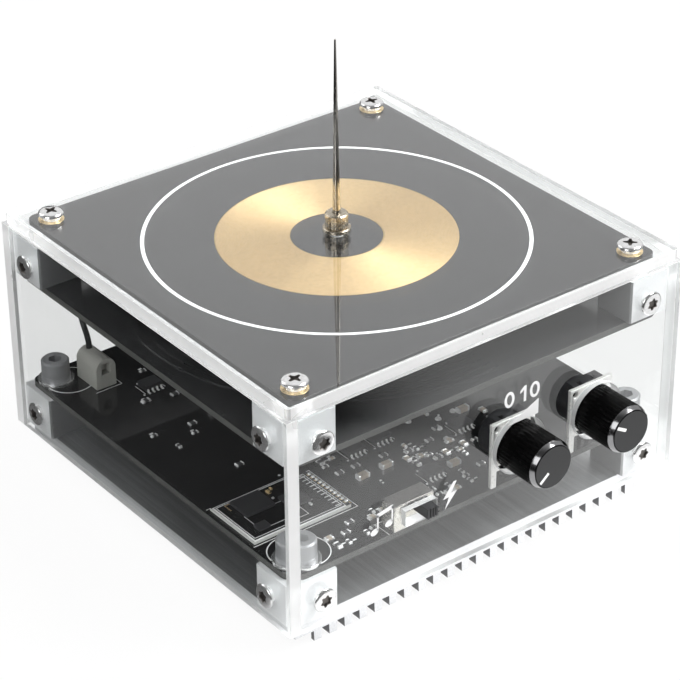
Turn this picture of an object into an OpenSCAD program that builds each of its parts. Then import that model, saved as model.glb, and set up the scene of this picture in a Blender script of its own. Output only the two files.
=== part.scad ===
// Desktop resonant transformer: a clear acrylic case on a finned heatsink,
// with a flat printed secondary coil and an upright discharge needle on top.
// Origin: middle of the fins' underside. Front is -Y (the knobs), up is +Z.

/* [Case] */
// Width and depth of the case over the side panels
case_w = 115; // [110:1:125]
// Thickness of the clear side panels
panel_t = 3; // [2.5:0.5:4]
// Height of the side panels
panel_h = 56.4; // [54:0.2:64]
// Thickness of the clear top plate
top_t = 3; // [2:0.5:4]
// Step from the side panels' outer faces in to the top plate's edge
top_inset = 0.7; // [0:0.1:1.5]
// Radius of the top plate's corners
top_corner_r = 1; // [0.5:0.1:3]

/* [Heatsink] */
// Thickness of the heatsink's base
sink_base_t = 5.6; // [3.6:0.2:6]
// Height of the fins below the base
fin_h = 2.75; // [2:0.05:6]
// Thickness of a fin at its root
fin_root_t = 2.3; // [1.8:0.1:2.6]
// Thickness of a fin at its tip
fin_tip_t = 2.1; // [1.4:0.1:2.3]
// Distance from one fin to the next
fin_pitch = 4.33; // [4:0.01:6]
// Height of the heatsink's top face above the side panels' lower edges
sink_rise = 1; // [0.6:0.2:3]
// Clearance between the heatsink and the side panels
sink_clear = 1.2; // [0.4:0.1:1.6]

/* [Corner blocks] */
// Width and depth of a corner block
block_w = 11.5; // [10.5:0.5:12]
// Height of the lower corner blocks
lower_block_h = 11; // [10:0.5:13]
// Height of the upper corner blocks
upper_block_h = 11; // [10:0.5:13]
// Chamfer along the blocks' upright edges
block_chamfer = 0.4; // [0.2:0.1:0.8]

/* [Boards] */
// Thickness of the three large circuit boards
board_t = 1.6; // [1.2:0.1:2]
// Clearance between the boards and the side panels
board_clear = 1.2; // [0.4:0.1:1.6]
// Radius of the boards' corners
board_corner_r = 2.5; // [1:0.5:3]
// Gap between the coil board and the clear plate above it
coil_gap = 0.2; // [0.2:0.05:0.6]
// Width of the radio module's board
module_w = 24.4; // [20:0.2:25]
// Depth of the radio module's board
module_d = 17.4; // [14:0.2:19]
// Thickness of the radio module's board
module_t = 0.8; // [0.6:0.1:1.2]

/* [Coils] */
// Inner radius of the gold secondary winding
secondary_in_r = 11.1; // [9:0.1:14]
// Outer radius of the gold secondary winding
secondary_out_r = 29; // [27:0.1:32]
// Turns of the secondary winding
secondary_turns = 21; // [14:1:21]
// Width of the secondary's flat strip
secondary_strip_w = 0.4; // [0.3:0.02:0.42]
// Thickness of the secondary's flat strip
secondary_strip_t = 0.15; // [0.1:0.01:0.18]
// Distance from the lower coil board's edge in to the primary winding
primary_edge_gap = 2.3; // [1.5:0.1:6]
// Width of the band that the primary winding covers
primary_band_w = 14; // [11:0.5:18]
// Turns of the primary winding
primary_turns = 5; // [3:1:5]
// Width of the primary's flat strip
primary_strip_w = 1.8; // [1:0.1:1.8]
// Thickness of the primary's flat strip
primary_strip_t = 0.4; // [0.2:0.1:0.8]

/* [Discharge needle] */
// Height of the needle's tip above the clear top plate
needle_h = 49; // [35:1:60]
// Radius of the needle at its foot
needle_r = 0.95; // [0.6:0.05:1.1]
// Radius of the blunted tip
needle_tip_r = 0.22; // [0.1:0.02:0.3]
// Length of the needle's straight foot above its holder
needle_foot_l = 1.5; // [1:0.5:12]
// Radius of the knurled needle holder
holder_r = 2.8; // [2.2:0.1:3.4]
// Height of the knurled needle holder
holder_h = 3.7; // [3:0.1:6]
// Number of knurls round the holder
holder_knurls = 30; // [18:1:36]
// Depth of the needle's seat in its holder
needle_seat = 2.6; // [2:0.1:2.8]
// Radius of the holder's flange
flange_r = 3.4; // [3:0.1:4.5]
// Thickness of the holder's flange
flange_t = 1; // [0.6:0.1:1.6]
// Radius of the holder's stud, which clamps the plate and the coil board
stud_r = 1.5; // [1.2:0.1:2]
// Thickness of the nut under the coil board
stud_nut_t = 2.4; // [1.8:0.1:3]

/* [Screws] */
// Thread radius of the case screws
screw_r = 1.45; // [1.2:0.05:1.5]
// Clearance between a screw and the bore or hole round its thread
screw_clear = 0.05; // [0.02:0.01:0.1]
// Radius of the wider holes in the clear panels and boards
screw_hole_r = 1.9; // [1.7:0.05:2.2]
// Radius of the side screws' heads
side_head_r = 3; // [2.6:0.1:3.4]
// Height of the side screws' heads
side_head_h = 0.7; // [0.6:0.1:2]
// Length of the side screws' shanks
side_screw_l = 7; // [6:0.2:7.2]
// Radius of the top screws' heads
top_head_r = 3.1; // [2.6:0.1:3.4]
// Height of the top screws' heads
top_head_h = 1; // [0.8:0.1:2.2]
// How deep the top screws reach into the upper blocks
top_screw_grip = 3; // [2:0.2:3.4]
// Radius of the gold pads round the screws on the coil board
pad_r = 3.15; // [2.6:0.05:3.6]
// Width across flats of the small hexagon nut
nut_af = 5.5; // [5:0.1:6]
// How deep the base screws reach into the lower blocks
base_screw_grip = 3; // [2:0.2:3.2]
// Radius of the base screws' countersunk heads
base_head_r = 2.9; // [2.6:0.1:3.2]
// Height of the base screws' countersunk heads
base_head_h = 1.6; // [1.2:0.1:2]

/* [Board bolts] */
// Thread radius of the socket bolts that hold the main board
bolt_r = 1.95; // [1.6:0.05:2]
// Radius of the bolts' heads
bolt_head_r = 3.5; // [3.2:0.1:4]
// Height of the bolts' heads
bolt_head_h = 4; // [3:0.2:5]
// Width across flats of the bolts' hexagon sockets
bolt_socket_af = 3; // [2.4:0.1:3.4]
// Depth of the bolts' hexagon sockets
bolt_socket_h = 2; // [1.4:0.1:2.4]
// How deep the bolts reach into the lower blocks
bolt_grip = 3; // [2:0.2:3.2]
// Radius of the flat washers
washer_r = 4.5; // [4.2:0.1:5]
// Thickness of the flat washers
washer_t = 0.8; // [0.6:0.1:1.2]
// Radius of the spring washers
spring_washer_r = 3.6; // [3.2:0.1:4]
// Thickness of the spring washers
spring_washer_t = 1.2; // [0.8:0.1:1.6]

/* [Knobs and controls] */
// Place of the left control across the front, as a share of the case's half width
left_pot_share = 0.153; // [0.13:0.001:0.17]
// Place of the right control across the front, as a share of the case's half width
right_pot_share = 0.57; // [0.5:0.005:0.58]
// Height of the controls' axis above the main board
pot_axis_h = 10.8; // [9:0.1:14]
// Width of the controls' square front plates
pot_plate_w = 13; // [12.6:0.1:14]
// Thickness of the controls' square front plates
pot_plate_t = 1; // [0.6:0.1:1.4]
// Radius of the controls' round bodies
pot_body_r = 5.6; // [5.4:0.1:6.2]
// Length of the controls' round bodies
pot_body_l = 5; // [5:0.5:9]
// Outer radius of the controls' threaded bushes
pot_bush_r = 3.5; // [3.4:0.1:3.8]
// Length of the controls' threaded bushes
pot_bush_l = 2.8; // [2.6:0.1:3]
// Radius of the controls' shafts
pot_shaft_r = 3; // [2.6:0.1:3.1]
// Radial running clearance of the shafts in their bushes
shaft_run = 0.05; // [0.02:0.01:0.08]
// Width across flats of the controls' nuts
pot_nut_af = 10; // [9:0.2:10.6]
// Thickness of the controls' nuts
pot_nut_t = 1.2; // [1:0.1:1.4]
// Radius of the washers under the controls' nuts
pot_washer_r = 5.4; // [5:0.1:6]
// Thickness of the washers under the controls' nuts
pot_washer_t = 0.4; // [0.3:0.1:0.6]
// Radius of the round holes in the front panel for the knobs
knob_hole_r = 7.25; // [7:0.05:8]
// Radius of the knobs
knob_r = 6.2; // [5.6:0.1:6.4]
// Length of the knobs
knob_l = 13.4; // [11:0.2:18]
// Length of the knobs' smooth skirts
knob_skirt_l = 1.4; // [1:0.1:3]
// Number of flutes round a knob
knob_flutes = 24; // [12:1:30]
// Depth of the knobs' flutes
flute_depth = 0.28; // [0.15:0.01:0.4]
// Width of the knobs' bright front chamfer
knob_chamfer = 0.8; // [0.4:0.1:1]
// Length of the knobs' bright front chamfer
knob_chamfer_l = 1.2; // [0.6:0.1:2]
// Turn of the left knob's mark from twelve o'clock, at rest
left_mark_deg = -130; // [-150:5:150]
// Turn of the right knob's mark from twelve o'clock, at rest
right_mark_deg = -60; // [-150:5:150]
// Middle of the slide switch across the front
switch_x = -20.5; // [-24:0.5:-18]
// Width of the slide switch's shell
switch_w = 11.5; // [11:0.5:13]
// Depth of the slide switch's shell
switch_d = 4.7; // [4.2:0.1:6]
// Height of the slide switch's shell
switch_h = 6.9; // [6.6:0.1:8]
// Travel of the slide switch's lever
switch_travel = 4; // [3:0.2:4.4]
// Width of the lever
lever_w = 3; // [2.4:0.1:3.4]
// Height of the lever
lever_h = 2.6; // [2:0.1:2.8]
// How far the lever stands out of the front panel
lever_out = 1.7; // [1:0.1:4]
// Clearance round the lever in its slot
lever_clear = 0.25; // [0.2:0.05:0.4]

/* [Electronics] */
// Width of a power transistor
transistor_w = 16; // [14:1:18]
// Length of a power transistor
transistor_l = 20; // [18:1:22]
// Thickness of a power transistor
transistor_t = 5; // [4.4:0.1:5.6]
// Thickness of the insulating pads under the transistors
pad_t = 0.3; // [0.2:0.1:0.5]
// Width of a small chip's body
chip_w = 4.9; // [4.5:0.1:5.2]
// Depth of a small chip's body
chip_d = 3.9; // [3.6:0.1:4.2]
// Height of a small chip above its board
chip_h = 1.6; // [1.2:0.1:2]
// Diameter of the black lead between the boards
lead_d = 1.5; // [1.2:0.1:2]
// Radius of the socket in the power inlet
inlet_bore_r = 3.15; // [2.9:0.05:3.4]
// Radius of the round hole in the rear panel for the power plug
plug_hole_r = 5.75; // [5.5:0.05:6.5]
// Place of the power inlet across the rear
inlet_x = 25; // [10:1:30]

/* [Hidden] */

// Faces of round forms, and of the round forms that many copies share
$fn = 64;
small_fn = 32;
// Overrun of a cut past the faces that it goes through
cut = 0.5;

// Heights, from the fins' underside up
sink_z = fin_h + sink_base_t;
panel_z = sink_z - sink_rise;
panel_top_z = panel_z + panel_h;
top_z = panel_top_z + top_t;
coil_board_z = panel_top_z - coil_gap - board_t;
upper_block_z = coil_board_z - upper_block_h;
primary_z = upper_block_z - board_t;
main_board_z = sink_z + lower_block_h;
main_top_z = main_board_z + board_t;
lower_screw_z = sink_z + lower_block_h / 2;
upper_screw_drop = 1;
upper_screw_h = upper_block_h / 2 - upper_screw_drop;
upper_screw_z = upper_block_z + upper_screw_h;

// Places across the case
outer = case_w / 2;
inner = outer - panel_t;
block_c = inner - block_w / 2;
side_screw_in = 0.75;
side_screw_c = block_c - side_screw_in;
board_half = inner - board_clear;
sink_half = inner - sink_clear;
top_half = outer - top_inset;

// Fins: an odd number, the middle one a little to the right of the middle line
sink_edge_w = 4;
fin_side_count = floor((sink_half - sink_edge_w) / fin_pitch);
fin_shift = 0.75;
fin_sink_in = 0.4;

// Screw details
head_edge_share = 0.45;
head_bevel_share = 0.3;
recess_w = 0.75;
recess_l = 3.1;
recess_share = 0.75;
base_pocket_clear = 0.6;
base_pocket_r = base_head_r + base_pocket_clear;
base_screw_l = sink_base_t + base_screw_grip;
primary_screw_l = board_t + top_screw_grip;
primary_head_r = 2.7;
primary_head_h = 1.6;
top_screw_l = top_t + coil_gap + board_t + top_screw_grip;
pad_thickness = 0.1;
pad_hole_r = 1.6;
tapped_r = screw_r + screw_clear;
bolt_bore_r = bolt_r + screw_clear;
bolt_hole_clear = 0.2;
bolt_hole_r = bolt_r + bolt_hole_clear;
bolt_seat_z = main_top_z + washer_t + spring_washer_t;
bolt_l = washer_t + spring_washer_t + board_t + bolt_grip;
washer_clear = 0.25;
washer_hole_r = bolt_r + washer_clear;
spring_split_w = 0.6;
thread_room = 0.3;

// Needle details
tip_round_l = 0.3;
knurl_depth = 0.22;
holder_chamfer = 0.4;
stud_clear = 0.1;
stud_hole_r = stud_r + stud_clear;
stud_end = 0.8;
stud_l = top_t + coil_gap + board_t + stud_nut_t + stud_end;

// Controls
left_pot_x = outer * left_pot_share;
right_pot_x = outer * right_pot_share;
pot_z = main_top_z + pot_axis_h;
plate_gap = 1.1;
plate_front_y = -inner + plate_gap;
plate_rear_y = plate_front_y + pot_plate_t;
plate_lug_w = 1.6;
plate_corner_share = 0.385;
plate_corner_hole_r = 0.85;
block_top_w = 9;
block_top_d = 3;
block_top_drop = 3.4;
control_notch_w = 1.2;
control_pin_w = 0.9;
control_pin_t = 0.5;
control_pin_pitch = 2.5;
shaft_seat_l = 4;
shaft_end_gap = 0.3;
flat_share = 0.55;
bush_front_y = plate_front_y - pot_bush_l;
knob_rear_gap = 0.2;
knob_rear_y = plate_front_y - pot_washer_t - pot_nut_t - knob_rear_gap;
knob_front_y = knob_rear_y - knob_l;
knob_bore_l = 9;
knob_recess_clear = 0.5;
knob_recess_r = pot_bush_r + knob_recess_clear;
knob_recess_l = 1.2;
cap_rim = 0.2;
cap_r = knob_r - knob_chamfer - cap_rim;
cap_t = 0.8;
cap_proud = 0.15;
mark_w = 0.8;
mark_depth = 0.4;
mark_in = 1.8;
mark_out_gap = 0.25;
nut_chamfer = 0.5;

// Holes for the legs of the parts on the main board
pin_hole_share = 0.75;

// Slide switch
switch_front_y = -inner + plate_gap;
switch_z = main_top_z + switch_h / 2;
lever_axis_h = 4.7;
lever_z = main_top_z + lever_axis_h;
lever_rest_x = switch_x + switch_travel / 2;
shell_wall = 0.5;
lever_shoe_w = 4.6;
lever_shoe_h = 3.2;
lever_shoe_d = 1.6;
lever_groove_w = 0.3;
lever_groove_depth = 0.25;
window_edge = 0.8;
window_side = 1;
window_w = switch_travel + lever_w + 2 * window_side;
window_h = lever_h + 2 * window_edge;
switch_pin_w = 0.8;
switch_pin_pitch = 3;
switch_pin_tail = 0.6;
switch_pin_l = board_t + switch_pin_tail;

// Radio module, at the front left of the main board
module_side_gap = 1.5;
module_x = -board_half + module_side_gap;
module_front_gap = 14.2;
module_y = -board_half + module_front_gap;
module_shield_w = 8;
module_shield_d = 7;
module_shield_h = 0.8;
module_chip_w = 4;
module_chip_h = 0.7;
crystal_w = 3.2;
crystal_d = 2.5;
crystal_h = 0.7;

// Small parts: where each lies on the main board, in shares of its half width
chip_gap = 0.15;
chip_lead_pitch = 1.27;
chip_lead_w = 0.42;
chip_lead_l = 1.05;
chip_lead_t = 0.2;
chip_place_shares = [
    [-0.242, -0.393], [-0.089, -0.388], [-0.082, -0.748], [-0.608, 0.592], [0.266, -0.526]
];
capacitor_l = 3.2;
capacitor_w = 1.6;
capacitor_h = 1.3;
capacitor_place_shares = [
    [0.043, -0.753], [-0.336, -0.586], [-0.202, -0.581], [0.355, -0.437], [-0.5, 0.227], [0.355, -0.645]
];
resistor_l = 2;
resistor_w = 1.25;
resistor_h = 0.55;
resistor_place_shares = [
    [-0.651, -0.872], [-0.592, -0.822], [-0.395, -0.497], [-0.306, -0.497], [-0.158, -0.507],
    [0.079, -0.536], [0.168, -0.477], [-0.638, 0.207], [-0.667, -0.197], [-0.559, 0.464],
    [0.138, -0.822], [0.424, -0.556]
];

// Power transistors, clamped to the heatsink under the main board
transistor_x = 16;
transistor_y = 6;
transistor_hole_r = 1.8;
transistor_hole_share = 0.3;
pad_margin = 1;
leg_w = 1.2;
leg_t = 0.6;
leg_pitch = 5.4;
leg_reach = 3;
transistor_head_r = 2.8;
transistor_head_h = 2;
transistor_screw_grip = 3.5;

// Terminal of the black lead, and the lead's route between the two boards
terminal_w = 5.6;
terminal_l = 9;
terminal_h = 8;
terminal_in_x = 7.85;
terminal_in_y = 6.35;
terminal_x = -block_c + terminal_in_x;
terminal_y = block_c - terminal_in_y;
terminal_slot_w = 2.4;
terminal_slot_h = 3;
lead_seat_l = 2.8;
lead_seat_h = 6.8;
lead_end_in = 6.9;
lead_end_back = 0.75;
lead_foot = [terminal_x, terminal_y + lead_seat_l, main_top_z + lead_seat_h];
lead_head = [-block_c + lead_end_in, block_c - lead_end_back, primary_z];
// The lead's route from its foot to its head, in shares of the way
lead_route_shares = [[0, 0, 0], [0, 0, 0.08], [0.1, 0.14, 0.19], [0.5, 0.57, 0.375],
    [0.9, 0.93, 0.6], [1, 1, 0.81], [1, 1, 1]];
lead_route = [for (s = lead_route_shares) [for (i = [0:2]) lead_foot[i] + s[i] * (lead_head[i] - lead_foot[i])]];
lead_sides = 8;
lead_steps = 3;

// Power inlet at the rear of the main board
inlet_w = 9;
inlet_l = 14;
inlet_h = 11;
inlet_axis_h = 6.4;
inlet_bore_l = 9.5;
inlet_pin_r = 1.05;
inlet_pin_l = 8.5;
inlet_gap = 1.1;
inlet_front_y = inner - inlet_gap;
inlet_shoulder = 0.9;
inlet_nose_r = 4.1;
inlet_nose_l = 3;

// Radii of the primary winding
primary_out_r = board_half - primary_edge_gap;
primary_in_r = primary_out_r - primary_band_w;

// Facets of the flat windings
secondary_steps = 32;
primary_steps = 48;

// A plate with its middle on the axis, round at its corners
module rounded_plate(half, thickness, corner_r) {
    linear_extrude(height = thickness)
        union() {
            square([2 * half, 2 * (half - corner_r)], center = true);
            square([2 * (half - corner_r), 2 * half], center = true);
            for (sx = [-1, 1], sy = [-1, 1])
                translate([sx * (half - corner_r), sy * (half - corner_r)])
                    circle(r = corner_r);
        }
}

// Repeats its children on the four corner axes
module at_corners() {
    for (sx = [-1, 1], sy = [-1, 1])
        translate([sx * block_c, sy * block_c, 0])
            children();
}

// Repeats its children on the four corner axes, mirrored so that +X and +Y point outward
module at_outward_corners() {
    for (sx = [-1, 1], sy = [-1, 1])
        translate([sx * block_c, sy * block_c, 0])
            mirror([sx < 0 ? 1 : 0, 0, 0])
                mirror([0, sy < 0 ? 1 : 0, 0])
                    children();
}

// Repeats its children at the four screws of the front panel, +Z outward
module at_front_screws() {
    for (sx = [-1, 1], z = [lower_screw_z, upper_screw_z])
        translate([sx * side_screw_c, -outer, z])
            rotate([90, 0, 0])
                children();
}

// A regular hexagon by its width across flats
module hexagon(across_flats) {
    circle(r = across_flats / 2 / cos(30), $fn = 6);
}

// A star recess of three crossed slots, cut down from z = 0
module star_recess(depth) {
    translate([0, 0, -depth])
        linear_extrude(height = depth + cut)
            for (turn = [0, 60, 120])
                rotate(turn)
                    square([recess_l, recess_w], center = true);
}

// A cross recess of two slots, cut down from z = 0
module cross_recess(depth) {
    translate([0, 0, -depth])
        linear_extrude(height = depth + cut)
            for (turn = [0, 90])
                rotate(turn)
                    square([recess_l, recess_w], center = true);
}

// A pan head on z = 0 with its bevelled crown, and a shank below it
module pan_screw(head_r, head_h, shank_r, shank_l, cross = false) {
    difference() {
        union() {
            rotate_extrude()
                polygon([
                    [0, 0], [head_r, 0], [head_r, head_h * head_edge_share],
                    [head_r * (1 - head_bevel_share), head_h], [0, head_h]
                ]);
            translate([0, 0, -shank_l])
                cylinder(h = shank_l, r = shank_r, $fn = small_fn);
        }
        translate([0, 0, head_h])
            if (cross) cross_recess(head_h * recess_share);
            else star_recess(head_h * recess_share);
    }
}

// A countersunk screw whose flat head lies below z = 0, shank upward when flipped
module countersunk_screw(head_r, head_h, shank_r, shank_l) {
    difference() {
        union() {
            translate([0, 0, -head_h])
                cylinder(h = head_h, r1 = shank_r, r2 = head_r);
            translate([0, 0, -shank_l])
                cylinder(h = shank_l - head_h, r = shank_r, $fn = small_fn);
        }
        star_recess(head_h * recess_share);
    }
}

// A hexagon nut on z = 0 whose bore clears the thread
module hex_nut(across_flats, thickness, bore_r) {
    difference() {
        intersection() {
            linear_extrude(height = thickness)
                hexagon(across_flats);
            rotate_extrude()
                polygon([
                    [0, 0], [across_flats / 2, 0],
                    [across_flats / 2 / cos(30), thickness * nut_chamfer / 2],
                    [across_flats / 2 / cos(30), thickness * (1 - nut_chamfer / 2)],
                    [across_flats / 2, thickness], [0, thickness]
                ]);
        }
        translate([0, 0, -cut])
            cylinder(h = thickness + 2 * cut, r = bore_r, $fn = small_fn);
    }
}

// One fin's cross-section, pointing down from the base's underside
module fin_profile() {
    polygon([
        [-fin_root_t / 2, fin_sink_in], [-fin_root_t / 2, 0], [-fin_tip_t / 2, -fin_h],
        [fin_tip_t / 2, -fin_h], [fin_root_t / 2, 0], [fin_root_t / 2, fin_sink_in]
    ]);
}

module heatsink() {
    color("silver")
        difference() {
            rotate([90, 0, 0])
                linear_extrude(height = 2 * sink_half, center = true)
                    union() {
                        translate([-sink_half, fin_h])
                            square([2 * sink_half, sink_base_t]);
                        for (k = [-fin_side_count:fin_side_count])
                            translate([k * fin_pitch + fin_shift, fin_h])
                                fin_profile();
                    }
            at_corners() {
                translate([0, 0, -cut])
                    cylinder(h = fin_h + cut, r = base_pocket_r);
                translate([0, 0, fin_h - screw_clear])
                    cylinder(h = base_head_h + 2 * screw_clear, r1 = base_head_r + screw_clear,
                        r2 = tapped_r);
                translate([0, 0, fin_h])
                    cylinder(h = sink_base_t + cut, r = tapped_r, $fn = small_fn);
            }
            for (sx = [-1, 1])
                translate([sx * transistor_x, transistor_hole_y(), sink_z - transistor_screw_grip - thread_room])
                    cylinder(h = transistor_screw_grip + thread_room + cut, r = tapped_r, $fn = small_fn);
        }
}

module base_screws() {
    color("dimgray")
        at_corners()
            translate([0, 0, fin_h])
                mirror([0, 0, 1])
                    countersunk_screw(base_head_r, base_head_h, screw_r, base_screw_l);
}

// A chamfered block with a bore up its middle, and a tapped one in each outward side
module corner_block(height, top_bore_r, bottom_bore_r, screw_h) {
    c = block_w / 2;
    d = c - block_chamfer;
    difference() {
        linear_extrude(height = height)
            polygon([[-d, -c], [d, -c], [c, -d], [c, d], [d, c], [-d, c], [-c, d], [-c, -d]]);
        translate([0, 0, height / 2])
            cylinder(h = height / 2 + cut, r = top_bore_r, $fn = small_fn);
        translate([0, 0, -cut])
            cylinder(h = height / 2 + cut, r = bottom_bore_r, $fn = small_fn);
        translate([-side_screw_in, c + cut, screw_h])
            rotate([90, 0, 0])
                cylinder(h = c + cut, r = tapped_r, $fn = small_fn);
        translate([0, -side_screw_in, screw_h])
            rotate([0, 90, 0])
                cylinder(h = c + cut, r = tapped_r, $fn = small_fn);
    }
}

module lower_corner_blocks() {
    color("gainsboro")
        at_outward_corners()
            translate([0, 0, sink_z])
                corner_block(lower_block_h, bolt_bore_r, tapped_r, lower_block_h / 2);
}

module upper_corner_blocks() {
    color("gainsboro")
        at_outward_corners()
            translate([0, 0, upper_block_z])
                corner_block(upper_block_h, tapped_r, tapped_r, upper_screw_h);
}

// One clear side panel in the front's place: it butts on the left panel's
// inner face and covers the right panel's end, so the four make a pinwheel
module side_panel_blank() {
    difference() {
        translate([-inner, -outer, panel_z])
            cube([inner + outer, panel_t, panel_h]);
        at_front_screws()
            translate([0, 0, -panel_t - cut])
                cylinder(h = panel_t + 2 * cut, r = screw_hole_r, $fn = small_fn);
    }
}

module front_panel() {
    color([0.85, 0.92, 0.95, 0.35])
        difference() {
            side_panel_blank();
            for (x = [left_pot_x, right_pot_x])
                translate([x, -inner + cut, pot_z])
                    rotate([90, 0, 0])
                        cylinder(h = panel_t + 2 * cut, r = knob_hole_r);
            translate([switch_x - window_w / 2, -outer - cut, lever_z - window_h / 2])
                cube([window_w, panel_t + 2 * cut, window_h]);
        }
}

module left_panel() {
    color([0.85, 0.92, 0.95, 0.35])
        rotate([0, 0, -90])
            side_panel_blank();
}

module rear_panel() {
    color([0.85, 0.92, 0.95, 0.35])
        difference() {
            rotate([0, 0, 180])
                side_panel_blank();
            translate([inlet_x, outer + cut, main_top_z + inlet_axis_h])
                rotate([90, 0, 0])
                    cylinder(h = panel_t + 2 * cut, r = plug_hole_r);
        }
}

module right_panel() {
    color([0.85, 0.92, 0.95, 0.35])
        rotate([0, 0, 90])
            side_panel_blank();
}

module top_plate() {
    color([0.85, 0.92, 0.95, 0.35])
        difference() {
            translate([0, 0, panel_top_z])
                rounded_plate(top_half, top_t, top_corner_r);
            at_corners()
                translate([0, 0, panel_top_z - cut])
                    cylinder(h = top_t + 2 * cut, r = screw_hole_r, $fn = small_fn);
            translate([0, 0, panel_top_z - cut])
                cylinder(h = top_t + 2 * cut, r = stud_hole_r, $fn = small_fn);
        }
}

// The screws of one side, turned to it from the front
module side_screws(turn) {
    color("whitesmoke")
        rotate([0, 0, turn])
            at_front_screws()
                pan_screw(side_head_r, side_head_h, screw_r, side_screw_l);
}

module top_screws() {
    color("whitesmoke")
        at_corners()
            translate([0, 0, top_z])
                pan_screw(top_head_r, top_head_h, screw_r, top_screw_l, cross = true);
}

// The flat gold rings that the top screws pass through
module coil_board_pads() {
    color("gold")
        at_corners()
            translate([0, 0, coil_board_z + board_t])
                difference() {
                    cylinder(h = pad_thickness, r = pad_r);
                    translate([0, 0, -cut])
                        cylinder(h = pad_thickness + 2 * cut, r = pad_hole_r, $fn = small_fn);
                }
}

// A board that fits between the panels, with a hole on each corner axis
module large_board(z, hole_r) {
    difference() {
        translate([0, 0, z])
            rounded_plate(board_half, board_t, board_corner_r);
        at_corners()
            translate([0, 0, z - cut])
                cylinder(h = board_t + 2 * cut, r = hole_r, $fn = small_fn);
    }
}

module coil_board() {
    color([0.08, 0.08, 0.09])
        difference() {
            large_board(coil_board_z, pad_hole_r);
            translate([0, 0, coil_board_z - cut])
                cylinder(h = board_t + 2 * cut, r = stud_hole_r, $fn = small_fn);
        }
}

// Middle radius of a flat winding's strip after a number of steps
function winding_r(i, steps, pitch, strip_w, in_r) = in_r + strip_w / 2 + pitch * i / steps;

// The four corners of a flat winding's strip after a number of steps
function winding_ring(i, steps, pitch, strip_w, strip_t, in_r) =
    let (a = 360 * i / steps, r = winding_r(i, steps, pitch, strip_w, in_r))
        [for (c = [[-1, 0], [1, 0], [1, 1], [-1, 1]])
            [(r + c[0] * strip_w / 2) * cos(a), (r + c[0] * strip_w / 2) * sin(a), c[1] * strip_t]];

// Least distance from the strip's outer corners to the next turn's inner ones,
// taken across the facets
function winding_gap(turns, steps, pitch, strip_w, in_r) =
    min([for (i = [0:(turns - 1) * steps])
        (winding_r(i + steps, steps, pitch, strip_w, in_r) - winding_r(i, steps, pitch, strip_w, in_r))
            * cos(180 / steps) - strip_w]);

// A flat winding: one unbroken strip from the inner to the outer radius
module flat_winding(name, turns, steps, in_r, out_r, strip_w, strip_t) {
    pitch = (out_r - in_r - strip_w) / turns;
    count = turns * steps;
    echo(str(name, ": least gap of the strip to itself ",
        winding_gap(turns, steps, pitch, strip_w, in_r), " mm"));
    points = [for (i = [0:count], p = winding_ring(i, steps, pitch, strip_w, strip_t, in_r)) p];
    sides = [for (i = [0:count - 1], k = [0:3], half = [0, 1])
        let (a = 4 * i + k, b = 4 * i + (k + 1) % 4)
            half == 0 ? [a, a + 4, b] : [b, a + 4, b + 4]];
    last = 4 * count;
    polyhedron(points, concat(sides, [[0, 1, 2], [0, 2, 3], [last, last + 2, last + 1], [last, last + 3, last + 2]]));
}

module secondary_coil() {
    color("goldenrod")
        translate([0, 0, coil_board_z + board_t])
            flat_winding("secondary", secondary_turns, secondary_steps, secondary_in_r, secondary_out_r,
                secondary_strip_w, secondary_strip_t);
}

module primary_board() {
    color([0.1, 0.1, 0.11])
        large_board(primary_z, screw_hole_r);
}

module primary_coil() {
    color([0.2, 0.19, 0.18])
        translate([0, 0, primary_z + board_t])
            flat_winding("primary", primary_turns, primary_steps, primary_in_r, primary_out_r,
                primary_strip_w, primary_strip_t);
}

module primary_board_screws() {
    color("silver")
        at_corners()
            translate([0, 0, primary_z])
                mirror([0, 0, 1])
                    pan_screw(primary_head_r, primary_head_h, screw_r, primary_screw_l);
}

module needle() {
    color("lightgray")
        translate([0, 0, top_z])
            rotate_extrude($fn = small_fn)
                polygon([
                    [0, flange_t + holder_h - needle_seat],
                    [needle_r, flange_t + holder_h - needle_seat],
                    [needle_r, flange_t + holder_h + needle_foot_l],
                    [needle_tip_r, needle_h - tip_round_l],
                    [0, needle_h]
                ]);
}

// The knurled holder with its flange, and the stud that goes through the plates
module needle_holder() {
    color("darkkhaki")
        translate([0, 0, top_z])
            difference() {
                union() {
                    cylinder(h = flange_t, r = flange_r);
                    translate([0, 0, flange_t])
                        linear_extrude(height = holder_h - holder_chamfer)
                            polygon([
                                for (i = [0:2 * holder_knurls - 1])
                                    let (r = holder_r - (i % 2) * knurl_depth, a = 180 * i / holder_knurls)
                                        [r * cos(a), r * sin(a)]
                            ]);
                    translate([0, 0, flange_t + holder_h - holder_chamfer])
                        cylinder(h = holder_chamfer, r1 = holder_r - holder_chamfer,
                            r2 = holder_r - holder_chamfer - knurl_depth);
                    translate([0, 0, -stud_l])
                        cylinder(h = stud_l, r = stud_r, $fn = small_fn);
                }
                translate([0, 0, flange_t + holder_h - needle_seat])
                    cylinder(h = needle_seat + cut, r = needle_r, $fn = small_fn);
            }
}

module needle_stud_nut() {
    color("gold")
        translate([0, 0, coil_board_z - stud_nut_t])
            hex_nut(nut_af, stud_nut_t, stud_r + screw_clear);
}

// The holes in the main board for the legs that pass through it
module board_leg_holes() {
    for (k = [-1, 0, 1])
        translate([switch_x + k * switch_pin_pitch, switch_front_y + switch_d / 2, main_board_z - cut])
            cylinder(h = board_t + 2 * cut, r = switch_pin_w * pin_hole_share, $fn = small_fn);
    for (x = [left_pot_x, right_pot_x], k = [-1, 0, 1])
        translate([x + k * control_pin_pitch, plate_rear_y + pot_body_l / 2, main_board_z - cut])
            cylinder(h = board_t + 2 * cut, r = control_pin_w * pin_hole_share, $fn = small_fn);
}

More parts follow.
